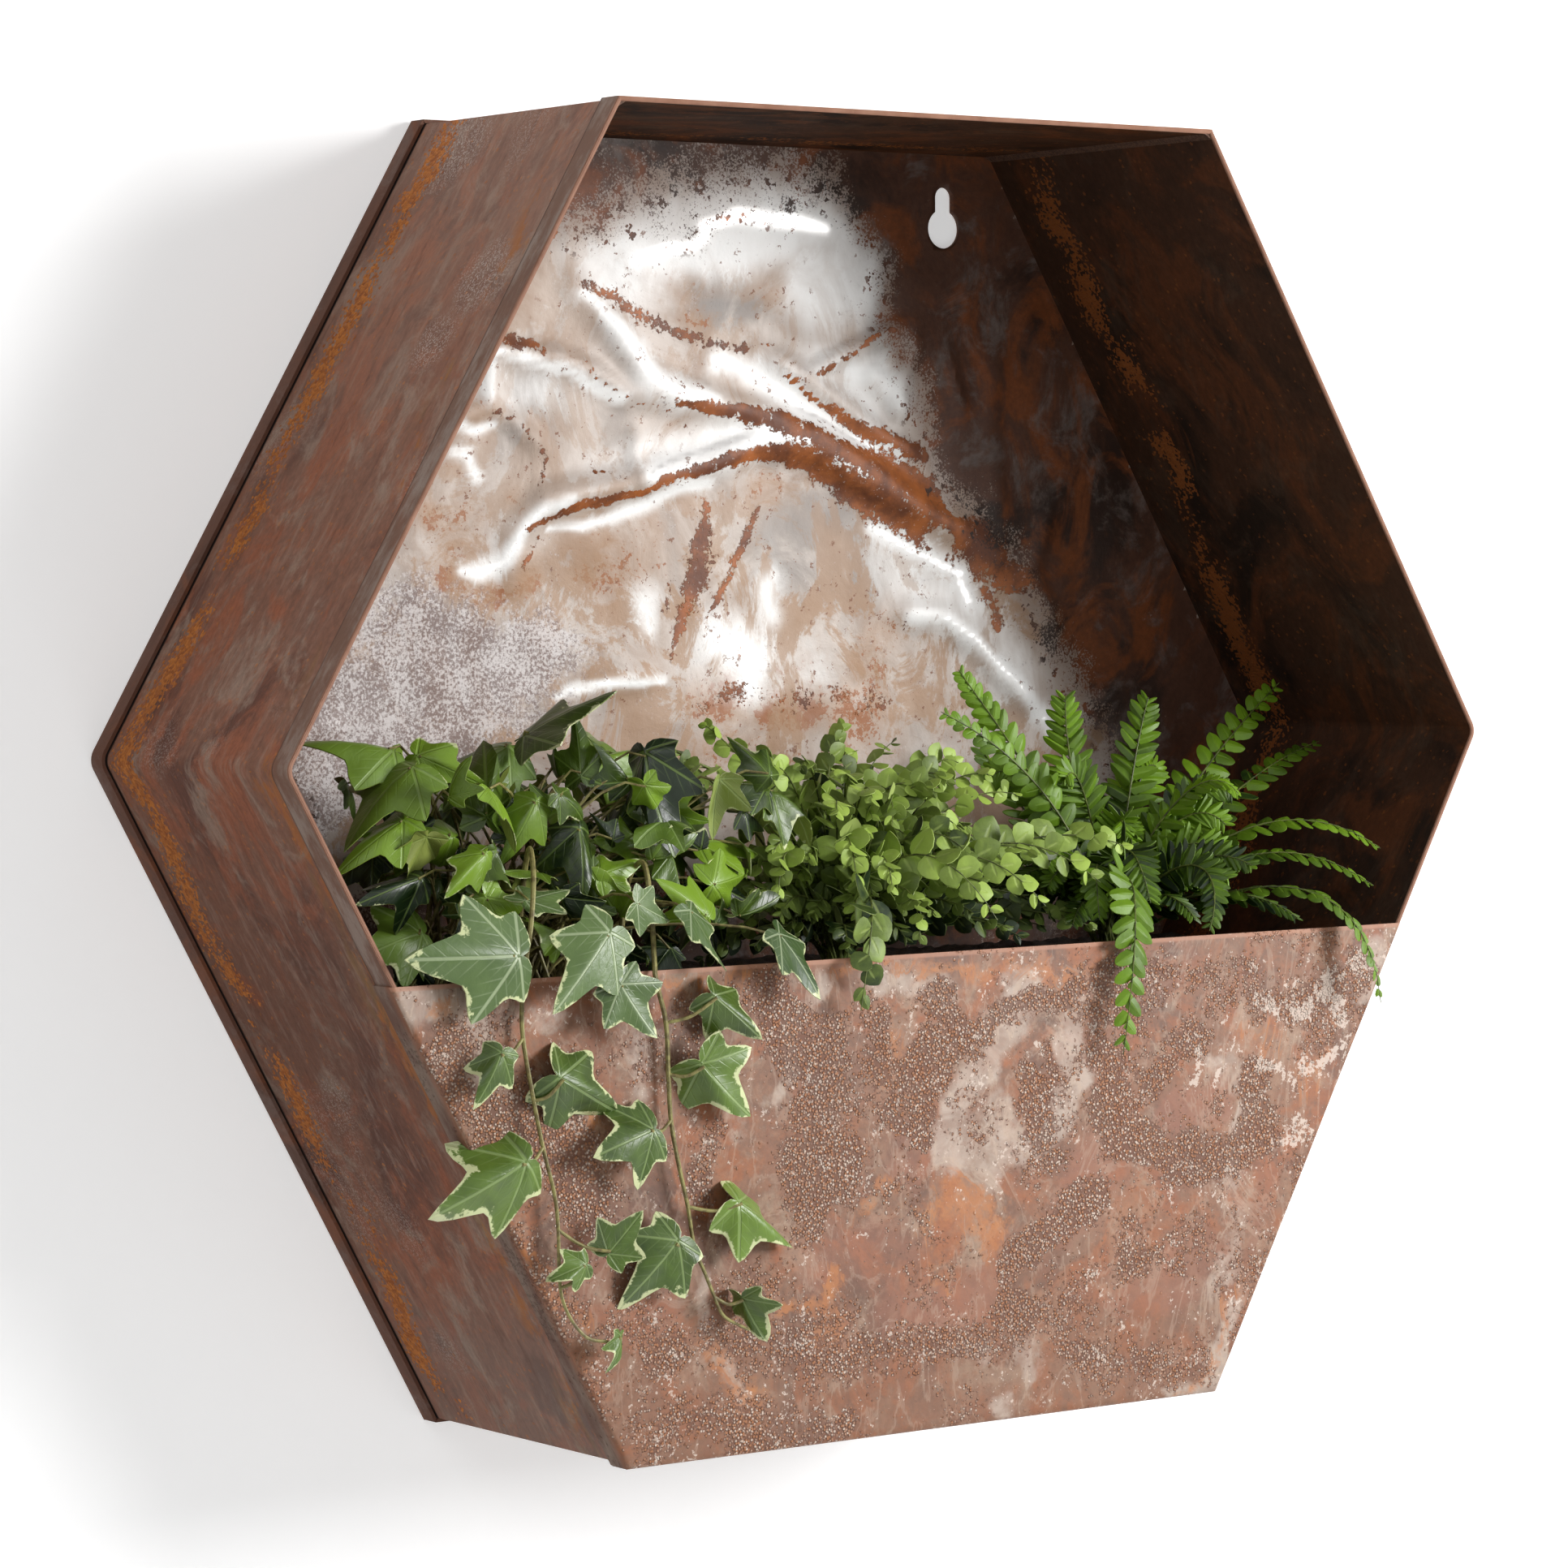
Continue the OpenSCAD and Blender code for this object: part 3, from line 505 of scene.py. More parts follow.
def fold_lip(shape, edges, by, sides, level=1.0):
    """Folds a lip back or forwards from the edge of a sheet, round a bend of short steps."""
    outward = {v: outward_way(v.co, fold_r, sides, level) for e in edges for v in e.verts}
    start = {v: v.co.copy() for v in outward}
    turn = math.copysign(1, by)
    for step in range(1, fold_steps + 2):
        swing = math.radians(90 / fold_steps * step)
        before = set(outward)
        grown = bmesh.ops.extrude_edge_only(shape, edges=edges)["geom"]
        edges = [e for e in grown if isinstance(e, bmesh.types.BMEdge)]
        pairs = {}
        for edge in (e for v in verts_of(grown) for e in v.link_edges):
            one, two = edge.verts
            if (one in before) != (two in before):
                pairs[two if one in before else one] = one if one in before else two
        outward = {new: outward[old] for new, old in pairs.items()}
        start = {new: start[old] for new, old in pairs.items()}
        for vert in outward:
            if step <= fold_steps:
                vert.co = start[vert] + fold_r * math.sin(swing) * outward[vert]
                vert.co.y += turn * fold_r * (1 - math.cos(swing))
            else:
                vert.co = start[vert] + fold_r * outward[vert]
                vert.co.y += by


def slit_lip(shape, side, top, fold_y):
    """Parts the lips of a sheet by a thin slit at one of its four sharp corners."""
    turn = (upper_turn if top else lower_turn) / 2
    up = 1 if top else -1
    out_way = Vector((side * math.sin(turn), 0, up * math.cos(turn)))
    across = out_way.cross((0, 1, 0))
    corner = Vector((side * half_flat, 0, mid_z + up * case_h / 2))

    def beside(face):
        """How far a lip face lies from the corner, along the edge of the sheet."""
        middle = face.calc_center_median() - corner
        near = abs(middle.y - fold_y) > fold_r and middle.xz.length < corner_reach
        return abs(middle.dot(across)) if near else 1.0

    for way in (across, -across):
        near = [f for f in shape.faces if beside(f) < slit_reach]
        parts = near + list({e for f in near for e in f.edges}) + list({v for f in near for v in f.verts})
        bmesh.ops.bisect_plane(shape, geom=parts, plane_co=corner + slit_half * way, plane_no=way)
    bmesh.ops.delete(shape, geom=[f for f in shape.faces if beside(f) < slit_half], context="FACES")


def thicken(shape, side):
    """Gives a folded sheet its thickness. Its drawn side faces the wall at 1, the front at -1."""
    bmesh.ops.recalc_face_normals(shape, faces=shape.faces)
    if side * sum(f.normal.y * f.calc_area() for f in shape.faces) < 0:
        bmesh.ops.reverse_faces(shape, faces=shape.faces)
    bmesh.ops.solidify(shape, geom=shape.faces, thickness=sheet_t)


def mesh_object(shape, name, material):
    """Turns a bmesh into a piece, smooth apart from its sharp edges."""
    bmesh.ops.recalc_face_normals(shape, faces=shape.faces)
    if shape.calc_volume(signed=True) < 0:
        bmesh.ops.reverse_faces(shape, faces=shape.faces)
    for face in shape.faces:
        face.smooth = True
    for edge in shape.edges:
        if len(edge.link_faces) == 2 and edge.calc_face_angle() > sharp_from:
            edge.smooth = False
    mesh = bpy.data.meshes.new(name)
    shape.to_mesh(mesh)
    shape.free()
    mesh.materials.append(material)
    made = bpy.data.objects.new(name, mesh)
    bpy.context.collection.objects.link(made)
    return made


def prism_shape(shape, points, low_y, high_y):
    """A flat outline in the plane of the wall, made solid from low_y to high_y."""
    base = shape.faces.new([shape.verts.new((x, low_y, z)) for x, z in points])
    grown = bmesh.ops.extrude_face_region(shape, geom=[base])["geom"]
    bmesh.ops.translate(shape, verts=verts_of(grown), vec=(0, high_y - low_y, 0))


def carve(piece, cutter):
    """Cuts one solid out of a piece, and keeps the result in the piece's mesh."""
    tool = piece.modifiers.new("cut", "BOOLEAN")
    tool.operation = "DIFFERENCE"
    tool.solver = "EXACT"
    tool.object = cutter
    bpy.context.view_layer.update()
    cut = piece.evaluated_get(bpy.context.evaluated_depsgraph_get())
    mesh = bpy.data.meshes.new_from_object(cut)
    piece.modifiers.clear()
    piece.data = mesh
    bpy.data.objects.remove(cutter)


def distance_to(points, path):
    """Distance of each point to a path, and how far along it the nearest place lies, 0 to 1."""
    path = np.array(path, float)
    nearest = np.full(len(points), 1e9)
    share = np.zeros(len(points))
    lengths = np.linalg.norm(np.diff(path, axis=0), axis=1)
    before = np.concatenate([[0], np.cumsum(lengths)])
    for i, (a, b) in enumerate(zip(path, path[1:])):
        t = np.clip(((points - a) @ (b - a)) / max((b - a) @ (b - a), 1e-12), 0, 1)
        gap = np.linalg.norm(points - a - t[:, None] * (b - a), axis=1)
        closer = gap < nearest
        nearest[closer] = gap[closer]
        share[closer] = (before[i] + t[closer] * lengths[i]) / before[-1]
    return nearest, share


def inside_by(points, ring):
    """Signed distance of each point to a closed outline, positive inside."""
    ring = np.array(ring, float)
    gap, _ = distance_to(points, np.vstack([ring, ring[:1]]))
    within = np.zeros(len(points), bool)
    x, z = points[:, 0], points[:, 1]
    for (ax, az), (bx, bz) in zip(ring, np.roll(ring, -1, axis=0)):
        if az != bz:
            within ^= ((az > z) != (bz > z)) & (x < (bx - ax) * (z - az) / (bz - az) + ax)
    return np.where(within, gap, -gap)


def soft_step(value, low, high):
    """0 up to low, 1 from high, and smooth between them."""
    t = np.clip((value - low) / (high - low), 0, 1)
    return t * t * (3 - 2 * t)


def stroke(points, path, width):
    """1 along a path, falling to 0 at its width."""
    return 1 - soft_step(distance_to(points, path)[0], 0.15 * width, width)


def smudge(points, middle, across, up, turn=0.0):
    """1 in the middle of an oval, falling to 0 at its rim."""
    away = points - np.array(middle, float)
    c, s = math.cos(math.radians(turn)), math.sin(math.radians(turn))
    along = (away[:, 0] * c + away[:, 1] * s) / across
    beside = (away[:, 1] * c - away[:, 0] * s) / up
    return 1 - soft_step(np.hypot(along, beside), 0.35, 1.0)


def ripple(points, size, seed):
    """Soft noise at each point, about -1 to 1."""
    return np.array([noise.noise(Vector((x / size, z / size, seed))) for x, z in points])


# Creases in the niche, in millimetres: points along each, its height and its half width
creases = [
    ([(-104, -152), (-103, -133), (-88, -119), (-72, -116), (-38, -110), (-1, -102), (19, -94),
      (49, -96), (69, -106), (98, -119), (124, -130), (150, -143)], 5.0, 6.5),
    ([(-72, -30), (-52, -48), (-40, -64), (-23, -73), (4, -79), (26, -83), (52, -91), (74, -103),
      (104, -117)], 4.6, 6.5),
    ([(-128, -55), (-113, -57), (-97, -59), (-81, -60), (-62, -66), (-47, -74), (-20, -76)], 3.2, 5.0),
    ([(-136, -88), (-125, -83), (-114, -80), (-104, -86), (-95, -92), (-86, -99)], 2.2, 4.0),
    ([(46, -65), (67, -56), (88, -47), (102, -41)], 2.6, 3.6),
    ([(22, -54), (52, -70), (70, -80), (87, -91), (112, -102)], 3.2, 4.5),
    ([(88, -166), (121, -169), (137, -180), (153, -195), (176, -214)], 3.4, 6.0),
    ([(-98, -207), (-73, -199), (-51, -193), (-28, -192)], 2.2, 6.0),
    ([(123, -50), (127, -65), (132, -82)], 2.2, 3.0),
    ([(-114, -61), (-114, -79)], 2.0, 4.0),
    ([(-40, -86), (-43, -104), (-38, -114)], 1.6, 4.0),
    ([(108, -44), (100, -62), (96, -84)], 1.8, 5.0),
    ([(78, -60), (92, -72), (98, -88)], 1.8, 5.0),
    ([(-16, -28), (10, -24), (44, -34)], 1.4, 9.0),
    ([(-210, -150), (-176, -120), (-150, -96), (-136, -70)], 2.6, 6.0),
    ([(-246, -230), (-214, -214), (-182, -208)], 2.2, 6.0),
    ([(150, -52), (146, -90), (152, -128)], 1.8, 6.0),
    ([(182, -120), (170, -150), (186, -182)], 1.8, 5.0)]
soil_top = -316
key_half = 123
most_lift = 7.6


def pan_relief(points):
    """How far the dented pan stands forward at each point, in millimetres."""
    lift = 1.1 + 0.9 * ripple(points, 46, 3.3) + 0.55 * ripple(points, 21, 8.1)
    for path, height, width in creases:
        gap, share = distance_to(points, path)
        ends = soft_step(share, 0, 0.16) * soft_step(1 - share, 0, 0.16)
        lift = lift + height * (0.25 + 0.75 * ends) * np.exp(-(gap / width) ** 2)
    inset = inside_by(points, [(p.x * 1000, p.y * 1000) for p in case_outline(0.003)])
    calm = soft_step(inset, 2, 22) * soft_step(points[:, 1], soil_top, soil_top + 30)
    for side in (-1, 1):
        calm = calm * soft_step(np.hypot(points[:, 0] - side * key_half, points[:, 1] - 5), 15, 34)
    return np.clip(lift, 0.0, most_lift) * calm


pan_step = 0.0025
pan_fine_from = -0.320
lip_depth, lip_front = 0.010, 0.0095
pan_shape = bmesh.new()
sheet_grid(pan_shape, pan_step, 0.0, pan_fine_from, mid_z + case_h / 2 + 0.001)
cut_to_outline(pan_shape, fold_r + hair)
flat_points = np.array([(v.co.x * 1000, v.co.z * 1000) for v in pan_shape.verts])
for vert, lift in zip(pan_shape.verts, pan_relief(flat_points)):
    vert.co.y = -lift / 1000
fold_lip(pan_shape, [e for e in pan_shape.edges if e.is_boundary], -lip_depth, outline_sides())
for side in (-1, 1):
    slit_lip(pan_shape, side, True, 0.0)
    slit_lip(pan_shape, side, False, 0.0)
thicken(pan_shape, 1)
pan = mesh_object(pan_shape, "dented_back_pan", bpy.data.materials.new("pan steel"))

key_head_r, key_slot_half, key_rise = 0.0085, 0.0045, 0.0135
cutters = bmesh.new()
for side in (-1, 1):
    slot_from = math.asin(key_slot_half / key_head_r)
    turns = [slot_from + (2 * math.pi - 2 * slot_from) * i / 36 for i in range(37)]
    ring = [(key_head_r * math.sin(turn), key_head_r * math.cos(turn)) for turn in turns]
    turns = [math.pi * i / 18 for i in range(19)]
    ring += [(-key_slot_half * math.cos(turn), key_rise + key_slot_half * math.sin(turn)) for turn in turns]
    prism_shape(cutters, [(side * key_half / 1000 + x, z) for x, z in ring], -0.02, 0.02)
bmesh.ops.recalc_face_normals(cutters, faces=cutters.faces)
carve(pan, mesh_object(cutters, "pan_cutters", pan.data.materials[0]))
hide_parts("back_pan")
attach(pan, "root")


def paint(piece, face_at, layers):
    """Keeps masks on a piece's vertices. Each is worked out from the place in the plane of the
    wall in millimetres, and holds only where the surface faces the front."""
    mesh = piece.data
    count = len(mesh.vertices)
    places = np.empty(count * 3)
    normals = np.empty(count * 3)
    mesh.vertices.foreach_get("co", places)
    mesh.vertices.foreach_get("normal", normals)
    places, normals = places.reshape(-1, 3), normals.reshape(-1, 3)
    points = places[:, [0, 2]] * 1000
    facing = soft_step(-normals[:, 1], 0.1, 0.4) * face_at(places)
    for name, values in layers(points).items():
        layer = mesh.attributes.new(name, "FLOAT", "POINT")
        layer.data.foreach_set("value", np.clip(values, 0, 1) * facing)


def ribbons(points, rows, spread=2.0):
    """Painted strokes of changing width, each a row of (x, z, half width) and a weight. A
    stroke holds its weight in the middle and fades over some of its half widths."""
    total = np.zeros(len(points))
    for row, weight in rows:
        row = np.array(row, float)
        gap, share = distance_to(points, row[:, :2])
        marks = np.concatenate([[0], np.cumsum(np.linalg.norm(np.diff(row[:, :2], axis=0), axis=1))])
        width = np.maximum(np.interp(share, marks / marks[-1], row[:, 2]), 1.3)
        total = np.maximum(total, weight * np.clip(1 - gap / (spread * width), 0, 1))
    return total


def smudges(points, rows):
    """The strongest of several soft ovals: each a middle, two half sizes, a turn and a weight."""
    total = np.zeros(len(points))
    for middle, across, up, turn, weight in rows:
        total = np.maximum(total, weight * smudge(points, middle, across, up, turn))
    return total


def warped(points, broad, fine):
    """The points moved a little by soft noise, so that painted strokes lose their even edges."""
    shift = [broad * ripple(points, 38, seed) + fine * ripple(points, 11, seed + 4) for seed in (5.1, 9.7)]
    return points + np.column_stack(shift)


def pan_layers(points):
    """Where the pan is bright (bare steel and painted highlights), filmed, stained, rusted, dark (rust and
    painted shadow) and speckled mauve.
    """
    wobble = 5 * ripple(points, 24, 1.0) + 3 * ripple(points, 8, 2.0)
    points = warped(points, 3.0, 1.6)
    # The dark region along the top and the right is dark rust and painted shadow of the top and right walls.
    dark_ring = [(-330, 60), (-330, -30), (-200, -30), (-140, -10), (-104, -4), (-86, 0), (-62, 9),
                 (-33, 14), (1, 21), (31, 28), (52, 24), (69, 14), (80, 0), (88, -17), (95, -37),
                 (101, -53), (107, -74), (113, -94), (122, -111), (138, -122), (152, -138), (167, -153),
                 (180, -170), (196, -196), (216, -226), (236, -264), (246, -300), (330, -300), (330, 60)]
    dark = 0.5 + (inside_by(points, dark_ring) + wobble) / (34 + 60 * smudge(points, (-44, 12), 130, 44))
    dark = np.maximum(dark, 0.8 * soft_step(points[:, 1], -258, -300))
    dark = np.maximum(dark, 0.8 * smudge(points, (-236, -236), 52, 34, -40))
    mauve_ring = [(-236, -222), (-206, -196), (-189, -183), (-177, -167), (-150, -155), (-118, -161),
                  (-83, -171), (-69, -183), (-77, -202), (-102, -212), (-140, -232), (-190, -250),
                  (-240, -246)]
    mauve = 0.5 + (inside_by(points, mauve_ring) + 1.6 * wobble) / 26
    rust = ribbons(points, (
        ([(-25, -76, 1.1), (-14, -77, 1.9), (-2, -80, 2.4), (10, -82, 3.5), (35, -87, 4.4), (61, -97, 5.3),
          (73, -102, 6.1), (86, -107, 7.7), (99, -113, 9.5), (112, -119, 11.4), (125, -126, 12),
          (139, -136, 10.7), (152, -147, 8.4), (165, -153, 6.1)], 1.0),
        ([(-98, -129, 0.8), (-89, -125, 1.7), (-63, -119, 1.9), (-39, -114, 2.1), (-15, -108, 2.4),
          (-2, -103, 2.8), (10, -99, 3.3), (20, -99, 3.7), (35, -100, 4.2), (48, -102, 4.9),
          (60, -108, 5.6), (73, -115, 6.3), (86, -122, 6.8), (99, -128, 6.4), (112, -134, 6)], 1.0),
        ([(32, -64, 0.9), (51, -75, 1.5), (61, -80, 2.7), (73, -87, 3.1), (86, -93, 4), (99, -97, 4.5),
          (110, -99, 3.6)], 0.9),
        ([(-68, -31, 2.1), (-60, -33, 3.4), (-50, -36, 4.6), (-41, -40, 4.2), (-29, -44, 3.8),
          (-19, -47, 3.2), (6, -53, 2.8), (18, -54, 2.4), (28, -53, 1.7)], 0.7),
        ([(-111, -52, 2.9), (-103, -54, 3.7), (-93, -55, 2.9), (-86, -58, 1.7)], 0.7),
        ([(-76, -58, 1.3), (-67, -62, 1.5), (-60, -68, 1.3), (-51, -74, 1.1), (-39, -78, 0.9)], 0.66),
        ([(-6, -122, 2.2), (-8, -134, 3.7), (-9, -144, 5.7), (-11, -154, 5.7), (-15, -162, 3.9),
          (-19, -170, 2.8), (-26, -186, 0.9)], 0.8),
        ([(20, -122, 1.3), (14, -130, 3.1), (10, -138, 3.3), (5, -152, 2.4), (-5, -168, 0.9)], 0.68),
        ([(-22, -152, 2), (-26, -160, 2.4), (-28, -167, 1.3)], 0.68),
        ([(51, -64, 0.7), (63, -57, 1.1), (84, -48, 1.6), (94, -45, 1.1)], 0.75),
        ([(-92, -133, 0.8), (-96, -139, 1.5), (-99, -145, 1.1)], 0.7),
        ([(-65, -107, 1.5), (-58, -108, 1.7), (-49, -109, 1.3)], 0.62),
        ([(-129, -82, 0.8), (-117, -81, 1.2), (-101, -88, 1), (-87, -100, 1), (-92, -115, 0.8)], 0.58),
        ([(-33, -78, 1.1), (-24, -83, 1.9), (-14, -89, 1.5)], 0.6),
        ([(98, -167, 1.1), (96, -173, 1.6), (97, -179, 0.9)], 0.62),
        ([(-81, -5, 2.1), (-82, -9, 1.7)], 0.66),
        ([(144, -157, 3.3), (149, -163, 3.7), (152, -172, 2.8)], 0.62),
        ([(-6, -206, 5), (10, -200, 6), (34, -204, 8), (60, -200, 8), (84, -206, 8)], 0.44)))
    rust = rust * (1 - smudges(points, (((129, -121), 12, 8, -30, 0.75), ((118, -136), 15, 7, -10, 0.75))))
    # The bright strokes along the creases and the bright smudges are pale bare steel with painted highlights
    # on it.
    bright = ribbons(points, (
        ([(-6, -2, 7.3), (11, 2, 9.5), (36, 1, 12.2), (59, -3, 8.8)], 1.0),
        ([(-41, -18, 5.1), (-24, -12, 6.4), (-6, -7, 6.4)], 1.0),
        ([(-68, -35, 1.5), (-60, -40, 2.1), (-51, -48, 2.7), (-41, -56, 3.4), (-35, -66, 4.3),
          (-24, -72, 3.9), (-2, -75, 1.7)], 1.0),
        ([(-113, -59, 1.4), (-98, -61, 1.9), (-72, -66, 1.7), (-60, -72, 1.5), (-48, -76, 1.1)], 1.0),
        ([(-39, -108, 2.6), (-24, -102, 4.3), (-7, -97, 5.6), (10, -91, 5.7), (25, -90, 4.4),
          (50, -95, 3.1), (66, -101, 3.1), (81, -110, 2.7), (94, -117, 1.8)], 1.0),
        ([(3, -59, 3), (18, -65, 4.4), (33, -73, 5.3), (45, -79, 4.4), (61, -87, 3.6), (79, -95, 2.7),
          (94, -100, 1.8)], 1.0),
        ([(-76, -119, 1.7), (-89, -120, 2.5), (-99, -126, 2.7), (-107, -143, 2.9), (-118, -148, 2.7),
          (-129, -147, 1.7)], 1.0),
        ([(74, -62, 4.5), (87, -63, 4.9), (97, -74, 5.4)], 0.9),
        ([(-87, -129, 1.1), (-68, -129, 1.5), (-44, -122, 1.9), (-25, -117, 1.9), (-5, -111, 1.7)], 1.0),
        ([(-83, -201, 1.3), (-66, -198, 1.7), (-50, -195, 1.9), (-30, -195, 1.3)], 1.0),
        ([(2, -178, 6.6), (17, -186, 8), (17, -198, 4.9)], 1.0), ([(25, -156, 4.4), (28, -168, 4.9)], 0.9),
        ([(101, -170, 2.7), (122, -171, 2.8), (138, -181, 3.3), (152, -193, 3.5), (168, -207, 3.3),
          (183, -221, 2.9)], 1.0),
        ([(83, -131, 2.3), (96, -137, 3.6), (112, -142, 4.1), (133, -150, 3.7)], 1.0),
        ([(-116, -62, 1.9), (-115, -75, 2.3)], 0.9),
        ([(-133, -88, 1.6), (-122, -91, 1.7), (-111, -88, 1.2)], 0.9),
        ([(131, -153, 4.6), (136, -163, 5.1)], 1.0), ([(-40, -161, 4.8), (-38, -171, 3.9)], 0.8),
        ([(-133, -100, 1.4), (-125, -101, 1.7), (-120, -108, 1.7)], 0.9)), 3.2)
    bright = np.maximum(bright, smudges(points, (
        ((4, -4), 100, 30, 4, 0.82), ((62, -20), 44, 40, 0, 0.72), ((-50, -22), 40, 24, -20, 0.56),
        ((70, -70), 44, 30, -30, 0.5), ((120, -160), 66, 30, -32, 0.55), ((150, -190), 50, 30, -46, 0.5),
        ((-20, -100), 70, 18, 8, 0.5), ((-90, -126), 46, 20, 20, 0.45), ((20, -190), 60, 24, 0, 0.4),
        ((-100, -70), 44, 20, -6, 0.45))))
    # Grey film. The thin smudge along the crease at (-57, -46) is a painted shadow of the crease.
    grey = smudges(points, (
        ((2, -38), 21, 11, -4, 1.0), ((1, -27), 29, 10, 0, 0.5), ((-91, -76), 27, 14, 10, 0.6),
        ((-53, -88), 16, 16, 0, 0.5), ((-57, -46), 10, 3, -42, 1.0), ((63, -126), 37, 13, -20, 0.8),
        ((37, -140), 32, 30, 0, 0.8), ((70, -152), 30, 18, 0, 0.75), ((18, -38), 16, 8, 0, 0.8),
        ((-101, -98), 16, 16, 0, 0.5), ((-48, -26), 13, 10, 0, 0.4), ((69, -27), 13, 16, 0, 0.4),
        ((88, -40), 14, 60, 12, 0.8), ((-30, -210), 60, 16, 0, 0.4)))
    ochre = smudges(points, (
        ((-145, -125), 9, 10, 0, 0.9), ((-134, -151), 16, 9, -30, 0.95), ((-115, -157), 21, 8, 5, 1.0),
        ((-96, -151), 10, 8, 20, 0.9), ((-129, -131), 22, 22, 0, 0.55), ((4, -203), 34, 18, 0, 0.85),
        ((37, -208), 34, 18, 0, 0.95), ((73, -210), 26, 20, 10, 0.85), ((83, -183), 16, 26, -24, 0.65),
        ((-51, -143), 36, 26, 0, 0.6), ((-103, -120), 8, 10, 0, 0.6), ((-115, -82), 21, 10, 0, 0.4),
        ((-19, -27), 10, 10, 0, 0.5), ((-9, -41), 16, 6, 0, 0.65), ((33, -30), 16, 10, 0, 0.4),
        ((-34, -133), 12, 18, 0, 0.5), ((25, -115), 18, 11, 0, 0.5), ((34, -187), 21, 13, 0, 0.4),
        ((-133, -108), 10, 5, 0, 0.5), ((0, -230), 80, 20, 0, 0.4)))
    return {"dark": dark, "mauve": mauve, "rust": rust, "bright": bright, "grey": grey, "ochre": ochre}


paint(pan, lambda places: np.where(np.abs(places[:, 1]) < lip_front, 1.0, 0.0), pan_layers)

pan_steel = pan.data.materials[0]
tree = nodes_of(pan_steel)
where = object_place(tree)


def mask(tree, name):
    """A mask kept on the piece's vertices."""
    return put(tree, "ShaderNodeAttribute", attribute_name=name).outputs["Fac"]


def worn(where, amount, scale, fleck, spread, edge):
    """A mask with its edge broken up by flecks of two sizes."""
    broad = scaled(cloud(where, scale, 7.0, 0.65), spread, -0.5 * spread)
    small = scaled(cloud(where, fleck, 3.0, 0.7), spread, -0.5 * spread)
    both = calc("ADD", calc("ADD", broad, small), amount)
    return rise(both, 0.5 - edge, 0.5 + edge)


soft = cloud(where, 24.0, 7.0, 0.6, 1.2)
smear = cloud(stretched(where, (1.0, 1.0, 0.55), (4.0, 0.0, 2.0)), 34.0, 7.0, 0.62, 1.4)
colour = tinted(rise(soft, 0.36, 0.66), rgb(196, 184, 175), rgb(168, 148, 134))
colour = wash(colour, rise(smear, 0.48, 0.7), 0.6, (150, 134, 123))
film = times(mask(tree, "grey"), rise(soft, 0.25, 0.55))
colour = tinted(film, colour, rgb(146, 139, 134))
stain = times(mask(tree, "ochre"), times(rise(smear, 0.28, 0.58), 0.8))
colour = tinted(stain, colour, rgb(166, 128, 96))
deep_stain = times(worn(where, times(mask(tree, "ochre"), 0.6), 70.0, 380.0, 1.7, 0.08), 0.85)
colour = tinted(deep_stain, colour, rgb(146, 84, 34))
fogged = scaled(smear, 0.9, -0.45)
# Where the bright mask holds, near-white: painted highlights on pale bare steel.
white = rise(calc("ADD", mask(tree, "bright"), fogged), 0.0, 0.9)
colour = wash(colour, white, 0.95, (250, 249, 247))
varnish = cloud(stretched(where, (1.0, 1.0, 0.6), (6.0, 0.0, 1.0)), 30.0, 9.0, 0.72, 0.8)
varnish = times(rise(varnish, 0.48, 0.54), rise(mask(tree, "bright"), 0.9, 0.3))
low_down = rise(coordinate(where, 2), -0.09, -0.17)
colour = wash(colour, varnish, scaled(low_down, 0.4, 0.35), (160, 124, 92))
peppered = times(rise(cloud(where, 240.0, 4.0, 0.7), 0.625, 0.645), rise(smear, 0.4, 0.55))
colour = wash(colour, peppered, 0.8, (116, 66, 34))
# A soft grey-brown fade towards the dark region: painted shadow of the top and right walls.
shadow_fade = times(rise(mask(tree, "dark"), 0.12, 0.5), 0.6)
colour = tinted(shadow_fade, colour, rgb(146, 126, 114))
dust = worn(where, mask(tree, "mauve"), 50.0, 500.0, 1.6, 0.3)
dust_shade = tinted(rise(scaled(cloud(where, 60.0, 4.0), 0.4, cloud(where, 700.0, 4.0, 0.75)), 0.62, 0.78),
                    rgb(120, 100, 97), rgb(220, 213, 212))
colour = tinted(times(dust, 0.8), colour, dust_shade)
rusted = worn(where, mask(tree, "rust"), 110.0, 420.0, 1.2, 0.06)
rust_shade = tinted(rise(cloud(where, 46.0, 6.0, 0.65), 0.35, 0.65), rgb(98, 52, 26), rgb(168, 96, 46))
rust_shade = wash(rust_shade, rise(cloud(where, 520.0, 2.0), 0.64, 0.7), 0.3, (214, 200, 192))
colour = tinted(rusted, colour, rust_shade)
skin = rust_skin(where, 12.0, ((46, 30, 22), (86, 56, 42), (122, 68, 36), (120, 108, 102)), 0.7)
# The patina's dark browns where the dark mask holds: rust, and painted shadow of the top and right walls.
darkened = worn(where, mask(tree, "dark"), 40.0, 980.0, 1.5, 0.12)
near_dark = times(rise(mask(tree, "dark"), 0.0, 0.2), rise(cloud(where, 210.0, 3.0, 0.6), 0.6, 0.62))
colour = tinted(higher(darkened, near_dark), colour, skin.outputs["Color"])
facing = surface_way(tree)
sunken = rise(coordinate(where, 1), -lip_front, -lip_front - 0.0004)
plain = higher(rise(coordinate(facing, 1), -0.35, -0.1), sunken)
colour = tinted(plain, colour, tinted(0.5, skin.outputs["Color"], rgb(112, 74, 58)))
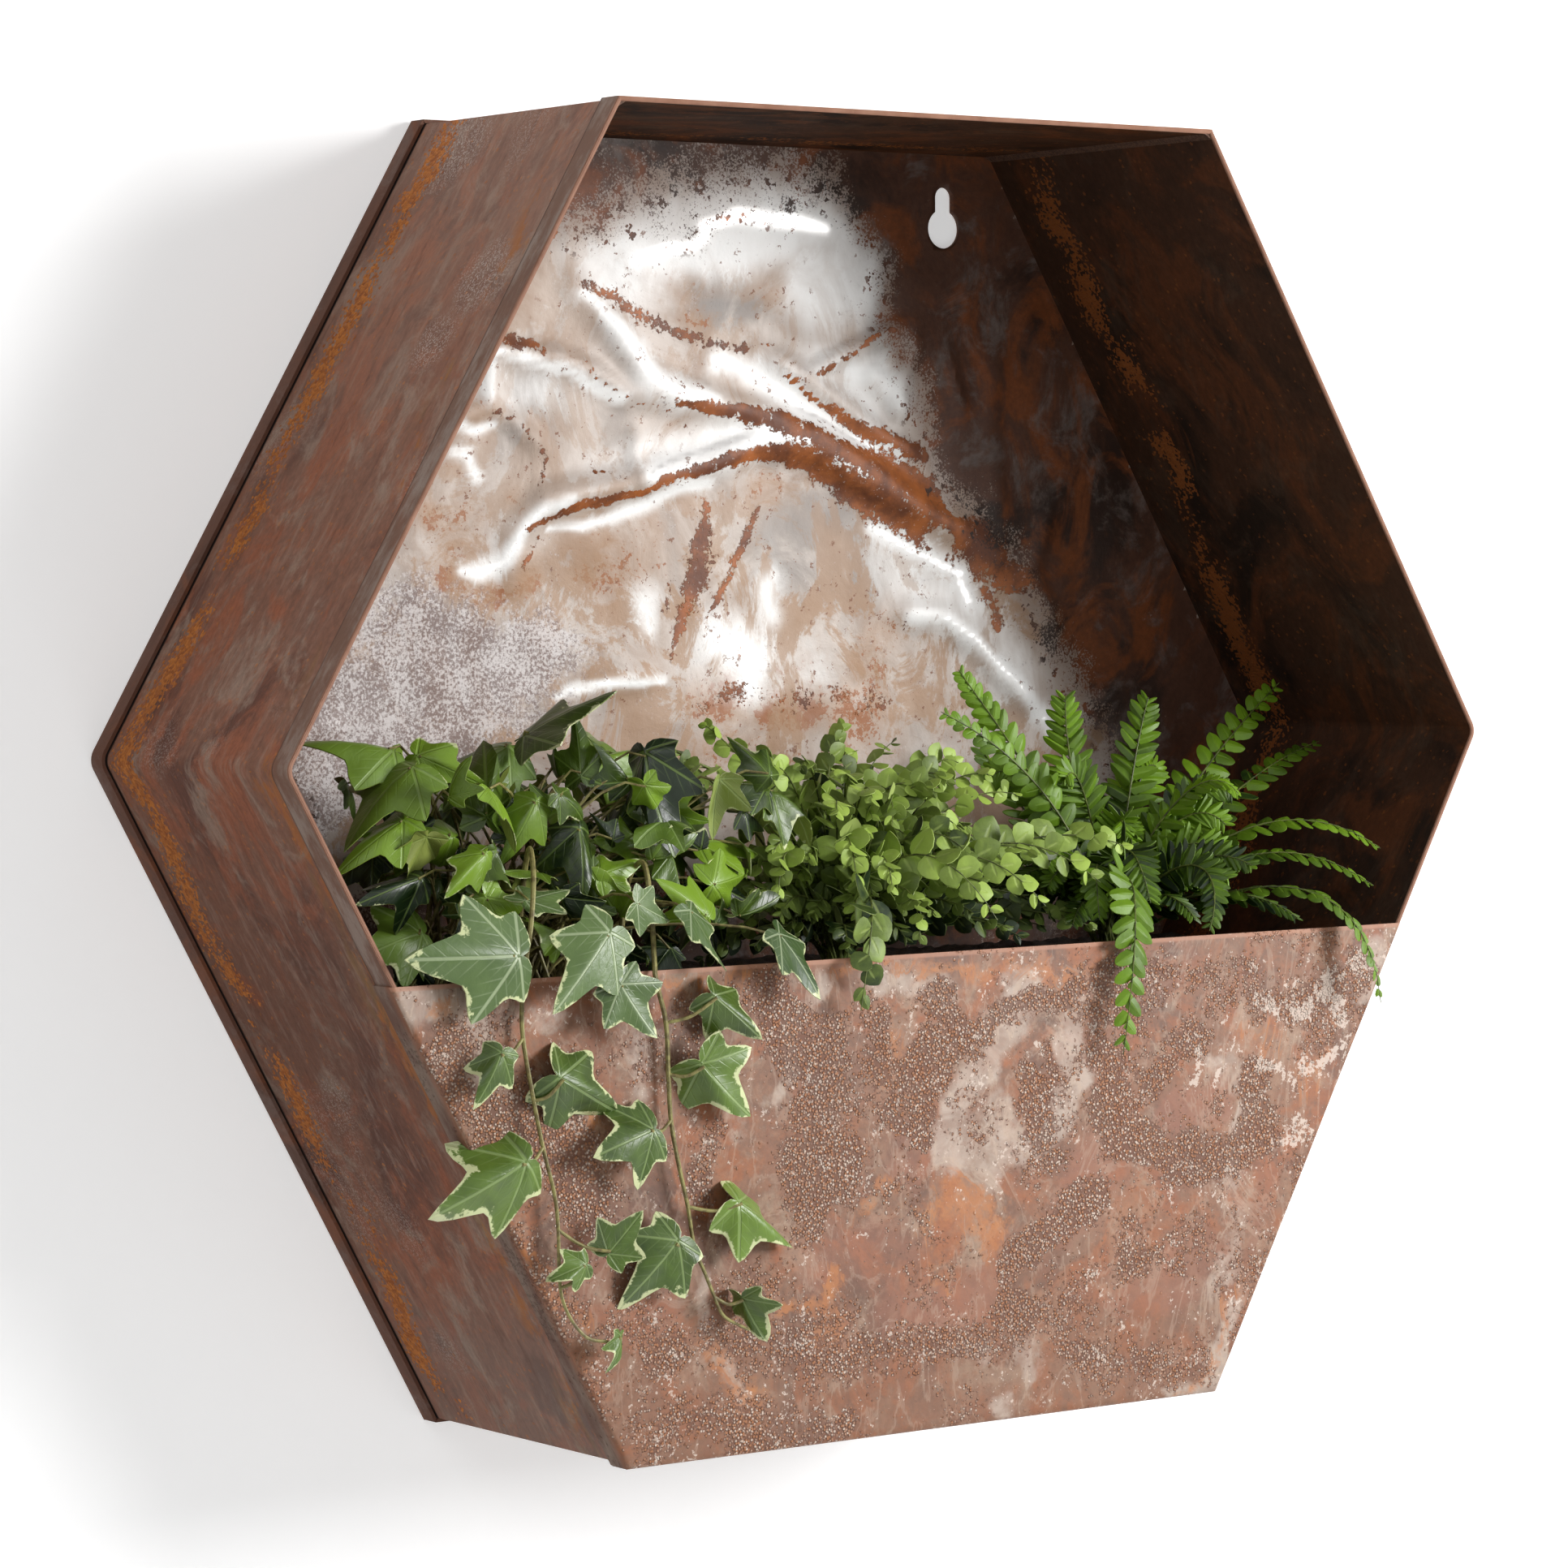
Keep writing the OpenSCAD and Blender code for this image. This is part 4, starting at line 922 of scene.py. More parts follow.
# The back face is painted a lighter mottled brown, standing in for light that hardly reaches it.
behind = rise(coordinate(facing, 1), 0.5, 0.8)
mottled = scaled(rise(cloud(where, 16.0, 8.0, 0.68), 0.35, 0.65), 0.55, 0.3)
colour = wash(colour, behind, mottled, (186, 146, 122))
covered = higher(higher(rusted, darkened), plain)
bare = calc("SUBTRACT", 1.0, higher(covered, times(dust, 0.8)))
shiny = times(bare, rise(mask(tree, "bright"), 0.82, 1.0))
metallic = scaled(shiny, 0.3, times(bare, 0.06))
rough = scaled(shiny, -0.24, scaled(soft, 0.16, 0.46))
rough = scaled(plain, 0.3, rough)
height = scaled(rusted, 0.35, scaled(skin.outputs["Grain"], 0.5, soft))
steel(colour, rough, metallic, height, 0.0006, 0.35)


# Front panel: one trapezoid plate that closes the pocket, with its lips folded back round the
# side walls and the bottom. It is mottled pink brown, with granular rust, pale clouds and
# orange runs, and its open rim is worn pale. The grains carry painted highlights on their
# tops and painted shade between them, and the pale rim is also a painted highlight.
rim_z = -0.302
panel_lip = 0.012
panel_step = 0.0024
panel_shape = bmesh.new()
sheet_grid(panel_shape, panel_step, -case_d, mid_z - case_h / 2 - 0.001, rim_z)
cut_to_outline(panel_shape, fold_r + hair)
for vert in panel_shape.verts:
    vert.co.y += 0.0002 * (1 + noise.noise(vert.co * 18.0))
fold_lip(panel_shape, [e for e in panel_shape.edges
                       if e.is_boundary and min(v.co.z for v in e.verts) < rim_z - 1e-5],
         panel_lip, outline_sides(), rim_z)
for side in (-1, 1):
    slit_lip(panel_shape, side, False, -case_d)
thicken(panel_shape, -1)
panel = mesh_object(panel_shape, "mottled_front_panel", bpy.data.materials.new("panel steel"))
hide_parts("front_panel")
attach(panel, "root")


def strokes(points, lines):
    """The strongest of several painted strokes. Each line is a path, a width and a weight."""
    total = np.zeros(len(points))
    for path, width, weight in lines:
        total = np.maximum(total, weight * stroke(points, path, width))
    return total


def panel_layers(points):
    """Where the front panel is granular, clouded, run with orange, red and spotted white."""
    points = warped(points, 13.0, 6.0)
    grain = strokes(points, (
        ([(-228, -340), (-214, -356), (-200, -362)], 26, 0.9),
        ([(-184, -361), (-163, -392), (-172, -382)], 24, 0.8),
        ([(-78, -324), (-60, -340), (-50, -354), (-59, -369), (-66, -390)], 22, 1.0),
        ([(-117, -391), (-110, -376), (-104, -366)], 20, 0.8), ([(-46, -378), (-62, -396)], 24, 1.0),
        ([(-7, -349), (-7, -371), (-20, -362), (0, -342)], 18, 0.95),
        ([(2, -322), (14, -334), (24, -341)], 14, 0.8), ([(49, -352), (49, -375)], 13, 0.95),
        ([(60, -342), (62, -350)], 8, 0.8),
        ([(93, -350), (93, -375), (110, -393), (132, -402), (154, -396), (172, -384), (176, -366)],
         20, 1.0),
        ([(112, -362), (126, -350), (140, -346)], 18, 0.85),
        ([(80, -326), (110, -330), (125, -317)], 18, 0.85),
        ([(125, -317), (161, -324), (198, -332), (228, -322)], 18, 0.8),
        ([(236, -340), (228, -360)], 14, 0.7),
        ([(-136, -451), (-92, -450), (-60, -458), (-14, -458), (37, -457)], 20, 0.78),
        ([(37, -457), (89, -473), (117, -481)], 18, 0.72),
        ([(-136, -477), (-105, -485), (-47, -486)], 16, 0.7),
        ([(71, -409), (85, -410), (64, -419), (40, -438)], 18, 0.85),
        ([(100, -430), (140, -428)], 22, 0.62), ([(30, -330), (70, -318), (110, -316)], 10, 0.8),
        ([(-30, -330), (-24, -344)], 12, 0.8)))
    pale = strokes(points, (
        ([(48, -318), (41, -326), (34, -336), (27, -346), (17, -359), (10, -369), (6, -382)], 17, 1.0),
        ([(20, -380), (13, -393), (30, -388)], 16, 0.8), ([(34, -366), (38, -384), (30, -400)], 12, 0.75),
        ([(75, -325), (72, -341), (75, -355), (61, -367), (47, -377)], 13, 0.95),
        ([(-30, -318), (-13, -316), (4, -318), (10, -324)], 9, 0.85),
        ([(-56, -316), (-66, -330), (-72, -343), (-79, -355)], 9, 0.7),
        ([(-243, -312), (-220, -318), (-216, -330)], 18, 0.95), ([(-198, -312), (-180, -318)], 12, 0.6),
        ([(124, -493), (146, -495), (150, -479), (157, -468)], 10, 1.0),
        ([(238, -312), (232, -330)], 12, 0.8), ([(165, -374), (157, -382)], 5.5, 1.25),
        ([(22, -459), (26, -463)], 8, 0.85), ([(43, -468), (47, -472)], 7, 0.8),
        ([(33, -483), (38, -490)], 8, 0.8),
        ([(-111, -428), (-108, -443), (-105, -459), (-102, -475)], 8, 0.6),
        ([(157, -402), (157, -418), (150, -451)], 14, 0.55), ([(-150, -330), (-140, -352)], 12, 0.6),
        ([(-98, -352), (-92, -372)], 10, 0.55), ([(150, -352), (162, -362)], 12, 0.6)))
    orange = strokes(points, (
        ([(-235, -314), (-234, -320)], 7, 1.0), ([(-27, -393), (-34, -400)], 9, 0.8),
        ([(8, -404), (20, -407), (30, -419), (33, -414)], 14, 0.85), ([(-4, -408), (2, -432)], 8, 0.6),
        ([(-76, -436), (-64, -432), (-53, -443), (-50, -428), (-46, -420)], 7, 1.0),
        ([(-60, -451), (-56, -444)], 7, 1.0), ([(-111, -448), (-102, -470), (-100, -484)], 11, 0.8),
        ([(-89, -476), (-95, -468), (-97, -489)], 9, 0.8),
        ([(-194, -405), (-191, -420), (-173, -437)], 8, 0.8),
        ([(-46, -310), (-10, -308), (20, -308)], 9, 0.75), ([(20, -311), (60, -309), (89, -312)], 9, 0.6),
        ([(-170, -310), (-130, -309), (-90, -310)], 8, 0.55),
        ([(170, -336), (184, -346), (180, -362)], 12, 0.6), ([(206, -346), (204, -366)], 12, 0.6),
        ([(-20, -330), (-18, -346)], 9, 0.6), ([(-168, -352), (-160, -366)], 14, 0.5),
        ([(157, -457), (153, -474), (139, -489), (124, -493)], 5, 0.7),
        ([(-215, -374), (-200, -392)], 12, 0.7)))
    red = np.zeros(len(points))
    for middle, across, up, turn, weight in (
            ((139, -374), 34, 16, 20, 0.9), ((3, -443), 60, 26, 0, 0.7), ((-40, -418), 60, 22, -6, 0.6),
            ((-10, -380), 26, 30, 0, 0.6), ((80, -400), 30, 44, -20, 0.6), ((-150, -420), 50, 50, 0, 0.55),
            ((118, -440), 50, 30, 0, 0.6), ((170, -420), 24, 44, -20, 0.4), ((92, -344), 18, 34, 0, 0.5)):
        red = np.maximum(red, weight * smudge(points, middle, across, up, turn))
    white = strokes(points, (
        ([(172, -322), (191, -334)], 9, 0.9), ([(191, -334), (204, -330), (217, -341)], 10, 1.0),
        ([(179, -359), (206, -366), (222, -356)], 8, 0.85), ([(210, -324), (230, -318)], 9, 0.85),
        ([(154, -358), (152, -362)], 4, 1.1), ([(143, -352), (144, -360)], 4, 1.1),
        ([(166, -352), (160, -346)], 4, 1.0), ([(180, -392), (196, -380)], 9, 0.75)))
    return {"grain": grain, "pale": pale, "orange": orange, "red": red, "white": white}


paint(panel, lambda places: np.where(places[:, 1] < 0.0008 - case_d, 1.0, 0.0), panel_layers)

tree = nodes_of(panel.data.materials[0])
where = object_place(tree)
facing = surface_way(tree)
skin = rust_skin(where, 13.0, ((94, 60, 41), (127, 87, 63), (142, 83, 46), (152, 126, 105)), 0.8)
colour = skin.outputs["Color"]
swirl = cloud(stretched(where, (1.0, 1.0, 0.5), (2.0, 0.0, 6.0)), 26.0, 6.0, 0.6, 2.2)
colour = wash(colour, rise(swirl, 0.52, 0.66), 0.5, (148, 115, 91))
colour = wash(colour, rise(swirl, 0.46, 0.34), 0.5, (124, 75, 51))
low_down = rise(coordinate(where, 2), -0.41, -0.48)
colour = wash(colour, low_down, 0.35, (116, 78, 55))
ruddy = worn(where, mask(tree, "red"), 30.0, 90.0, 0.6, 0.3)
colour = wash(colour, ruddy, 0.5, (147, 93, 70))
cloudy = worn(where, mask(tree, "pale"), 44.0, 170.0, 0.9, 0.3)
bright = tinted(rise(cloud(where, 60.0, 5.0, 0.6, 1.0), 0.35, 0.65), rgb(160, 140, 126), rgb(196, 180, 166))
colour = tinted(times(cloudy, 0.68), colour, bright)
marbled = cloud(stretched(where, (1.0, 1.0, 0.55), (8.0, 0.0, 3.0)), 20.0, 5.0, 0.55, 3.0)
thread = hollow(marbled, 0.5, 0.03)
colour = wash(colour, thread, scaled(mask(tree, "pale"), 0.35, 0.25), (184, 160, 140))
runny = worn(where, times(mask(tree, "orange"), 0.7), 70.0, 260.0, 1.2, 0.25)
runny = higher(runny, times(hollow(marbled, 0.46, 0.035), rise(mask(tree, "orange"), 0.05, 0.5)))
amber = tinted(cloud(where, 90.0, 5.0), rgb(150, 84, 44), rgb(196, 128, 66))
colour = tinted(times(runny, 0.72), colour, amber)
spread = scaled(cloud(where, 44.0, 8.0, 0.76), 2.7, -1.35)
cover = rise(calc("ADD", mask(tree, "grain"), spread), 0.3, 0.85)
stray = rise(cloud(stretched(where, shift=(5.0, 1.0, 9.0)), 22.0, 9.0, 0.78), 0.5, 0.6)
cover = higher(cover, times(stray, 0.72))
ground = times(rise(cover, 0.05, 0.5), 0.35)
colour = tinted(ground, colour, rgb(130, 86, 62))
beads = put(tree, "ShaderNodeGroup", {"Vector": where, "Scale": 820.0, "Cover": cover}, node_tree=grains)
# The grains' tops are painted pale and the gaps between them dark: painted highlight and shade, over tones
# that differ at random.
bead_top = tinted(rise(beads.outputs["Chance"], 0.15, 0.8), rgb(164, 108, 70), rgb(222, 202, 186))
bead_highlight_and_shade = tinted(beads.outputs["Crown"], rgb(98, 61, 43), bead_top)
colour = tinted(times(beads.outputs["Mask"], 0.8), colour, bead_highlight_and_shade)
chalk = worn(where, times(mask(tree, "white"), 0.66), 110.0, 420.0, 2.6, 0.1)
colour = wash(colour, chalk, 0.75, (212, 194, 180))
# The open rim is worn pale and carries a painted highlight along its edge.
rim = rise(coordinate(where, 2), rim_z - 0.0022, rim_z - 0.0012)
colour = wash(colour, rim, 0.7, (172, 122, 96))
lip = rise(coordinate(facing, 1), -0.6, -0.2)
lip_shade = tinted(rise(cloud(stretched(where, (1.0, 3.0, 1.0)), 34.0, 7.0, 0.7), 0.36, 0.62),
                   rgb(124, 104, 90), rgb(90, 60, 46))
lip_shade = wash(lip_shade, rise(coordinate(where, 1), -0.144, -0.149), 0.6, (138, 84, 54))
colour = tinted(lip, colour, lip_shade)
rough = scaled(beads.outputs["Mask"], 0.12, scaled(skin.outputs["Grain"], 0.2, 0.4))
rough = scaled(lip, 0.25, rough)
height = scaled(times(beads.outputs["Mask"], beads.outputs["Crown"]), 1.0,
                times(skin.outputs["Grain"], 0.35))
steel(colour, rough, 0.0, height, 0.0006)


# Inside the case: weld beads in the four sharp corners, screens over the drain holes, a layer
# of fired clay pellets, and potting soil with the three root balls in it.
def matt(name, low, high, scale, relief, roughness, metallic=0.0):
    """A rough material in two mixed colours, with a relief in metres."""
    made = bpy.data.materials.new(name)
    tree = nodes_of(made)
    where = object_place(tree)
    lumps = cloud(where, scale, 7.0, 0.7, 0.6)
    colour = tinted(rise(lumps, 0.35, 0.7), low, high)
    rough = scaled(lumps, 0.2, roughness)
    steel(colour, rough, metallic, lumps, relief)
    return made


soil_shade = matt("damp soil", rgb(22, 16, 12), rgb(62, 46, 34), 260.0, 0.003, 0.75)
dress(matt("weld bead", rgb(58, 38, 28), rgb(128, 96, 78), 900.0, 0.0006, 0.4, 0.4), "corner_welds")
dress(matt("screen steel", rgb(120, 122, 120), rgb(170, 172, 170), 700.0, 0.0001, 0.35, 1.0),
      "drain_screens")
dress(matt("fired clay", rgb(120, 64, 38), rgb(176, 104, 66), 90.0, 0.003, 0.75), "clay_pellets")
dress(matt("rooted soil", rgb(34, 24, 17), rgb(104, 86, 62), 340.0, 0.002, 0.8),
      "ivy_root_ball", "button_fern_root_ball", "sword_fern_root_ball")
dress(soil_shade, "potting_soil")

soil_y, soil_z, soil_lift = -0.0753, -0.316, 0.0004
edge_half = Vector((0.239, 0.071))
layer_h, lump_h, slope = 0.0006, 0.0042, 0.01
soil = bmesh.new()
sheet = bmesh.ops.create_grid(soil, x_segments=150, y_segments=42, size=0.5)["verts"]
bmesh.ops.transform(soil, verts=sheet, matrix=Matrix.Translation((0, soil_y, soil_z + soil_lift))
                    @ Matrix.Diagonal((2 * edge_half.x, 2 * edge_half.y, 1, 1)))
skirt = bmesh.ops.extrude_face_region(soil, geom=soil.faces[:])["geom"]
for vert in verts_of(skirt):
    inset = min(edge_half.x - abs(vert.co.x), edge_half.y - abs(vert.co.y - soil_y))
    lump = 0.5 + 0.5 * noise.noise(vert.co * 60.0) + 0.6 * noise.noise(vert.co * 190.0)
    vert.co.z += layer_h + max(0.0, lump) * lump_h * min(1.0, inset / slope)
top_soil = mesh_object(soil, "lumpy_top_soil", soil_shade)
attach(top_soil, "root")


# Ivy: a variegated ivy at the left. Some 130 leaves stand on thin stalks, each with five
# lobes, a fold along its midrib, pale veins that fan out from its stalk and a cream margin.
ivy_x = -160.83
front_mm, half_depth_mm, rim_mm = -150, -75, -302
spiral_turn = 137.5


def plant_place(middle, p):
    """A place from millimetres right of a plant's middle, before the rim and above the rim."""
    return Vector((middle + p[0], front_mm - p[1], rim_mm + p[2])) / 1000


def bent(a, b, c, d, t):
    """A place along a curve from a to d that leans to b and c."""
    s = 1 - t
    return s ** 3 * a + 3 * s * s * t * b + 3 * s * t * t * c + t ** 3 * d


def leaf_layers(shape):
    """What each leaf keeps on its vertices: how near the margin, its underside and its looks."""
    for name in ("margin", "under", "tone", "cream"):
        shape.verts.layers.float.new(name)


def leaf_pattern(shape, columns, rows, place, thick):
    """A flat leaf, one unit long, from a grid whose points are moved by place."""
    grid = bmesh.ops.create_grid(shape, x_segments=columns, y_segments=rows, size=0.5)["verts"]
    margin, under = shape.verts.layers.float["margin"], shape.verts.layers.float["under"]
    for vert in grid:
        x, y, near = place(round((vert.co.x + 0.5) * columns), round((vert.co.y + 0.5) * rows))
        vert.co = (x, y, 0)
        vert[margin] = near
    bmesh.ops.remove_doubles(shape, verts=grid, dist=1e-5)
    faces = shape.faces[:]
    bmesh.ops.recalc_face_normals(shape, faces=faces)
    if sum(f.normal.z for f in faces) < 0:
        bmesh.ops.reverse_faces(shape, faces=faces)
    bmesh.ops.solidify(shape, geom=faces, thickness=thick)
    layer = shape.loops.layers.uv.new("leaf")
    for face in shape.faces:
        for loop in face.loops:
            loop[layer].uv = loop.vert.co.xy
    low = min(v.co.z for v in shape.verts)
    for vert in shape.verts:
        vert[under] = 1.0 if vert.co.z < low / 2 else 0.0
    return shape.verts[:] + shape.edges[:] + shape.faces[:]


def new_leaf(shape, pattern):
    """A copy of the flat leaf: its vertices, ready to be laid in place."""
    return verts_of(bmesh.ops.duplicate(shape, geom=pattern)["geom"])


def add_stems(shape, stems, material_index, corners=1):
    """Round stems, each along a row of points with a radius at each."""
    lines = bpy.data.curves.new("stems", "CURVE")
    lines.dimensions = "3D"
    lines.bevel_depth = 1.0
    lines.bevel_resolution = corners
    lines.use_fill_caps = True
    for stem in stems:
        line = lines.splines.new("POLY")
        line.points.add(len(stem) - 1)
        for point, (place, radius) in zip(line.points, stem):
            point.co = (*place, 1.0)
            point.radius = radius
    holder = bpy.data.objects.new("stems", lines)
    mesh = bpy.data.meshes.new_from_object(holder)
    mesh.polygons.foreach_set("material_index", [material_index] * len(mesh.polygons))
    shape.from_mesh(mesh)
    bpy.data.objects.remove(holder)
    bpy.data.curves.remove(lines)
    bpy.data.meshes.remove(mesh)


ivy_edge = [(0, 1.0), (5, 0.9), (11, 0.76), (18, 0.63), (26, 0.545), (34, 0.55), (42, 0.6), (50, 0.655),
            (57, 0.69), (62, 0.61), (68, 0.49), (74, 0.405), (81, 0.372), (90, 0.382), (98, 0.408),
            (105, 0.425), (111, 0.385), (118, 0.325), (130, 0.25), (145, 0.18), (162, 0.11), (180, 0.045)]
ivy_turns = [-a for a, _ in reversed(ivy_edge)] + [a for a, _ in ivy_edge[1:]]
ivy_radii = [r for _, r in reversed(ivy_edge)] + [r for _, r in ivy_edge[1:]]
ivy_rings = [0.0, 0.3, 0.58, 0.82, 1.0]
ivy_thick = 0.012


def ivy_point(column, row):
    """Where one point of the ivy leaf's grid lies, and how near the margin it is."""
    reach = ivy_rings[row] * ivy_radii[column]
    turn = math.radians(ivy_turns[column])
    return reach * math.cos(turn), reach * math.sin(turn), ivy_rings[row]


def ivy_start():
    """A new shape, and in it the flat ivy leaf that the others are copied from."""
    shape = bmesh.new()
    leaf_layers(shape)
    shape.verts.layers.float.new("pale")
    return shape, leaf_pattern(shape, len(ivy_turns) - 1, len(ivy_rings) - 1, ivy_point, ivy_thick)


def lay_ivy(shape, pattern, base, tip, facing, chance, cream, pale, light=1.0):
    """Lays one ivy leaf from its base to its tip, folded, drooping and waved at the margin."""
    size = (tip - base).length
    along = (tip - base).normalized()
    tilt = (0.8 if light < 1 else 0.45) * (1 - pale)
    sway = Vector([chance.uniform(-tilt, tilt) * share for share in (1.3, 0.6, 1.0)])
    facing = Vector(facing).normalized() + sway
    across = facing.cross(along).normalized()
    up = along.cross(across)
    curl = 2.0 - 1.2 * pale
    fold, droop, wave = (curl * chance.uniform(*ends) for ends in ((0.12, 0.48), (0.06, 0.3), (0.02, 0.1)))
    phase, skew = chance.uniform(0, 6.28), chance.uniform(-0.12, 0.12)
    narrow = chance.uniform(0.56, 0.9) + 0.3 * min(1, 2.5 * pale) * chance.uniform(0.6, 1)
    layers = shape.verts.layers.float
    # The tone is multiplied by light, which darkens leaves low in the crown: painted shade.
    tone = light * (0.55 + (chance.random() - 0.5) * (1 - 0.65 * min(1, 3 * pale)))
    for vert in new_leaf(shape, pattern):
        x, y, z = vert.co
        reach, turn = math.hypot(x, y), math.atan2(y, x)
        fall = fold * (math.sqrt(y * y + 0.004) - 0.063) + droop * x * x
        fall += wave * reach * math.sin(3 * turn + phase) + wave * reach * reach * math.sin(7 * turn - phase)
        vert.co = base + size * (x * along + (y * narrow + skew * x * x) * across + (z - fall) * up)
        vert[layers["tone"]] = tone
        vert[layers["cream"]] = cream
        vert[layers["pale"]] = pale


facings = {"front": (-0.45, -0.8, 0.35), "straight": (-0.15, -1, 0.15), "up_front": (0.0, -0.4, 1.0),
           "right_front": (0.5, -0.8, 0.3), "left_front": (-0.9, -0.4, 0.2)}
crown_leaves = [
    ((6, -62, 90), (26, -36, 112), "up_front"), ((-57, -58, 86), (-92, -66, 100), "up_front"),
    ((-50, -52, 84), (-34, -30, 74), "front"), ((-2, -88, 80), (-32, -98, 76), "up_front"),
    ((-56, -46, 80), (-92, -40, 64), "up_front"), ((1, -66, 86), (-37, -54, 77), "up_front"),
    ((22, -46, 74), (26, -54, 100), "front"), ((56, -80, 80), (102, -94, 86), "up_front"),
    ((66, -86, 74), (110, -100, 74), "up_front"), ((56, -92, 82), (70, -112, 96), "front"),
    ((47, -38, 83), (38, -18, 49), "left_front"), ((58, -46, 68), (91, -34, 37), "up_front"),
    ((63, -60, 68), (97, -72, 58), "up_front"), ((-30, -34, 60), (-24, -44, 92), "front"),
    ((-11, -28, 66), (-25, -22, 46), "front"), ((9, -28, 55), (4, -14, 30), "front"),
    ((12, 7, 27), (30, 5, 18), "front"), ((-45, 11, 10), (-92, 16, 11), "straight"),
    ((-4, 12, 17), (-32, 20, -12), "straight"), ((0, 13, -3), (14, 16, -26), "straight"),
    ((-28, -10, 29), (-4, -14, 34), "up_front"), ((39, 4, 23), (50, 14, 0), "right_front"),
    ((80, 6, 12), (97, 16, -11), "right_front"), ((106, -38, 67), (81, -34, 77), "up_front"),
    ((108, -38, 66), (135, -38, 56), "up_front"), ((-56, -40, 16), (-88, -32, 14), "front"),
    ((-36, -26, 30), (-20, -20, 4), "front"), ((-64, -40, 60), (-94, -38, 44), "up_front"),
    ((-43, -38, 53), (-76, -34, 58), "front"), ((-60, -34, 38), (-88, -26, 31), "front"),
    ((-37, -24, 47), (-58, -16, 34), "front"), ((3, -40, 48), (26, -50, 62), "up_front"),
    ((73, -40, 46), (106, -46, 50), "up_front"), ((71, -26, 30), (100, -26, 34), "front"),
    ((63, -18, 18), (42, -16, 36), "front"), ((17, -26, 36), (38, -26, 44), "front"),
    ((54, -30, 43), (56, -18, 24), "right_front"), ((84, -60, 50), (68, -76, 60), "front"),
    ((30, -70, 60), (10, -90, 72), "up_front"), ((-20, -74, 62), (-46, -90, 60), "up_front")]
front_leaves = (16, 17, 18, 19, 20, 21, 22)
inner_count = 88
seat_mm = -316.5
shoulder_low = -0.290
stalk_r, stalk_taper = 0.00085, 0.00004
chance = random.Random(41)
inner_leaves = []
for _ in range(inner_count):
    base = Vector((chance.uniform(-66, 106), chance.uniform(-98, -22), chance.uniform(2, 74)))
    turn = chance.uniform(0, 2 * math.pi)
    way = Vector((math.cos(turn), chance.uniform(-0.5, 0.5), 0.75 * math.sin(turn))).normalized()
    tip = base + way * chance.uniform(14, 26)
    tip.x = max(tip.x, -78 - 0.5 * tip.z)
    inner_leaves.append((base, tip, chance.choice(("front", "up_front", "up_front", "left_front"))))

ivy, pattern = ivy_start()
stalks = []
for index, (base, tip, facing) in enumerate(crown_leaves + inner_leaves):
    base, tip = plant_place(ivy_x, base), plant_place(ivy_x, tip)
    in_front = index in front_leaves
    # Inner leaves are darker the lower they sit in the crown: painted shade.
    light = min(0.99, 0.3 + 0.75 * (tip.z - rim_z) / 0.07) if index >= len(crown_leaves) else 1.0
    lay_ivy(ivy, pattern, base, tip, facings[facing], chance,
            0.6 if in_front else chance.choice((-1.0, -0.5, 0.2)),
            1.0 if in_front else chance.choice((0.0, 0.0, 0.25)), light)
    ring = 6 + 4 * math.sqrt(index)
    turn = math.radians(spiral_turn * index)
    seat = (ivy_x + ring * math.cos(turn), half_depth_mm - ring * math.sin(turn) / 2, seat_mm)
    start = Vector(seat) / 1000
    shoulder = 0.3 * start + 0.7 * base
    shoulder.z = max(base.z, shoulder_low) + 0.014
    end = base + 0.05 * (tip - base)
    steps = [bent(start, start + Vector((0, 0, 0.022)), shoulder, end, t / 9) for t in range(10)]
    stalks.append([(p, stalk_r - stalk_taper * i) for i, p in enumerate(steps)])
bmesh.ops.delete(ivy, geom=verts_of(pattern), context="VERTS")
add_stems(ivy, stalks, 1)
ivy_skin = bpy.data.materials.new("ivy leaf")
ivy_stalk = bpy.data.materials.new("ivy stalk")
crown = mesh_object(ivy, "ivy_crown_leaves", ivy_skin)
crown.data.materials.append(ivy_stalk)
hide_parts("ivy_crown")
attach(crown, "root")

leaf_tone, into, out = effect(
    "leaf tone",
    {"Vector": Vector(), "Scale": 60.0, "Tone": 0.5, "Under": 0.0, "Deep": (0.0, 0.0, 0.0, 1.0),
     "Fresh": (0.0, 0.0, 0.0, 1.0), "Underside": (0.0, 0.0, 0.0, 1.0)},
    {"Color": tuple, "Mottle": float})
mottle = cloud(into["Vector"], into["Scale"], 5.0, 0.6, 0.4)
fresh = calc("MULTIPLY_ADD", mottle, 0.8, scaled(into["Tone"], 1.7, -0.76), clamp=True)
shade = tinted(fresh, into["Deep"], into["Fresh"])
leaf_tone.links.new(tinted(times(into["Under"], 0.8), shade, into["Underside"]), out["Color"])
leaf_tone.links.new(mottle, out["Mottle"])


def leaf_greens(where, scale, deep, fresh, underside):
    """A leaf's greens, from the tone and the side that each leaf keeps on its vertices."""
    tree = tree_of(where)
    return put(tree, "ShaderNodeGroup",
               {"Vector": where, "Scale": scale, "Tone": mask(tree, "tone"), "Under": mask(tree, "under"),
                "Deep": deep, "Fresh": fresh, "Underside": underside}, node_tree=leaf_tone)


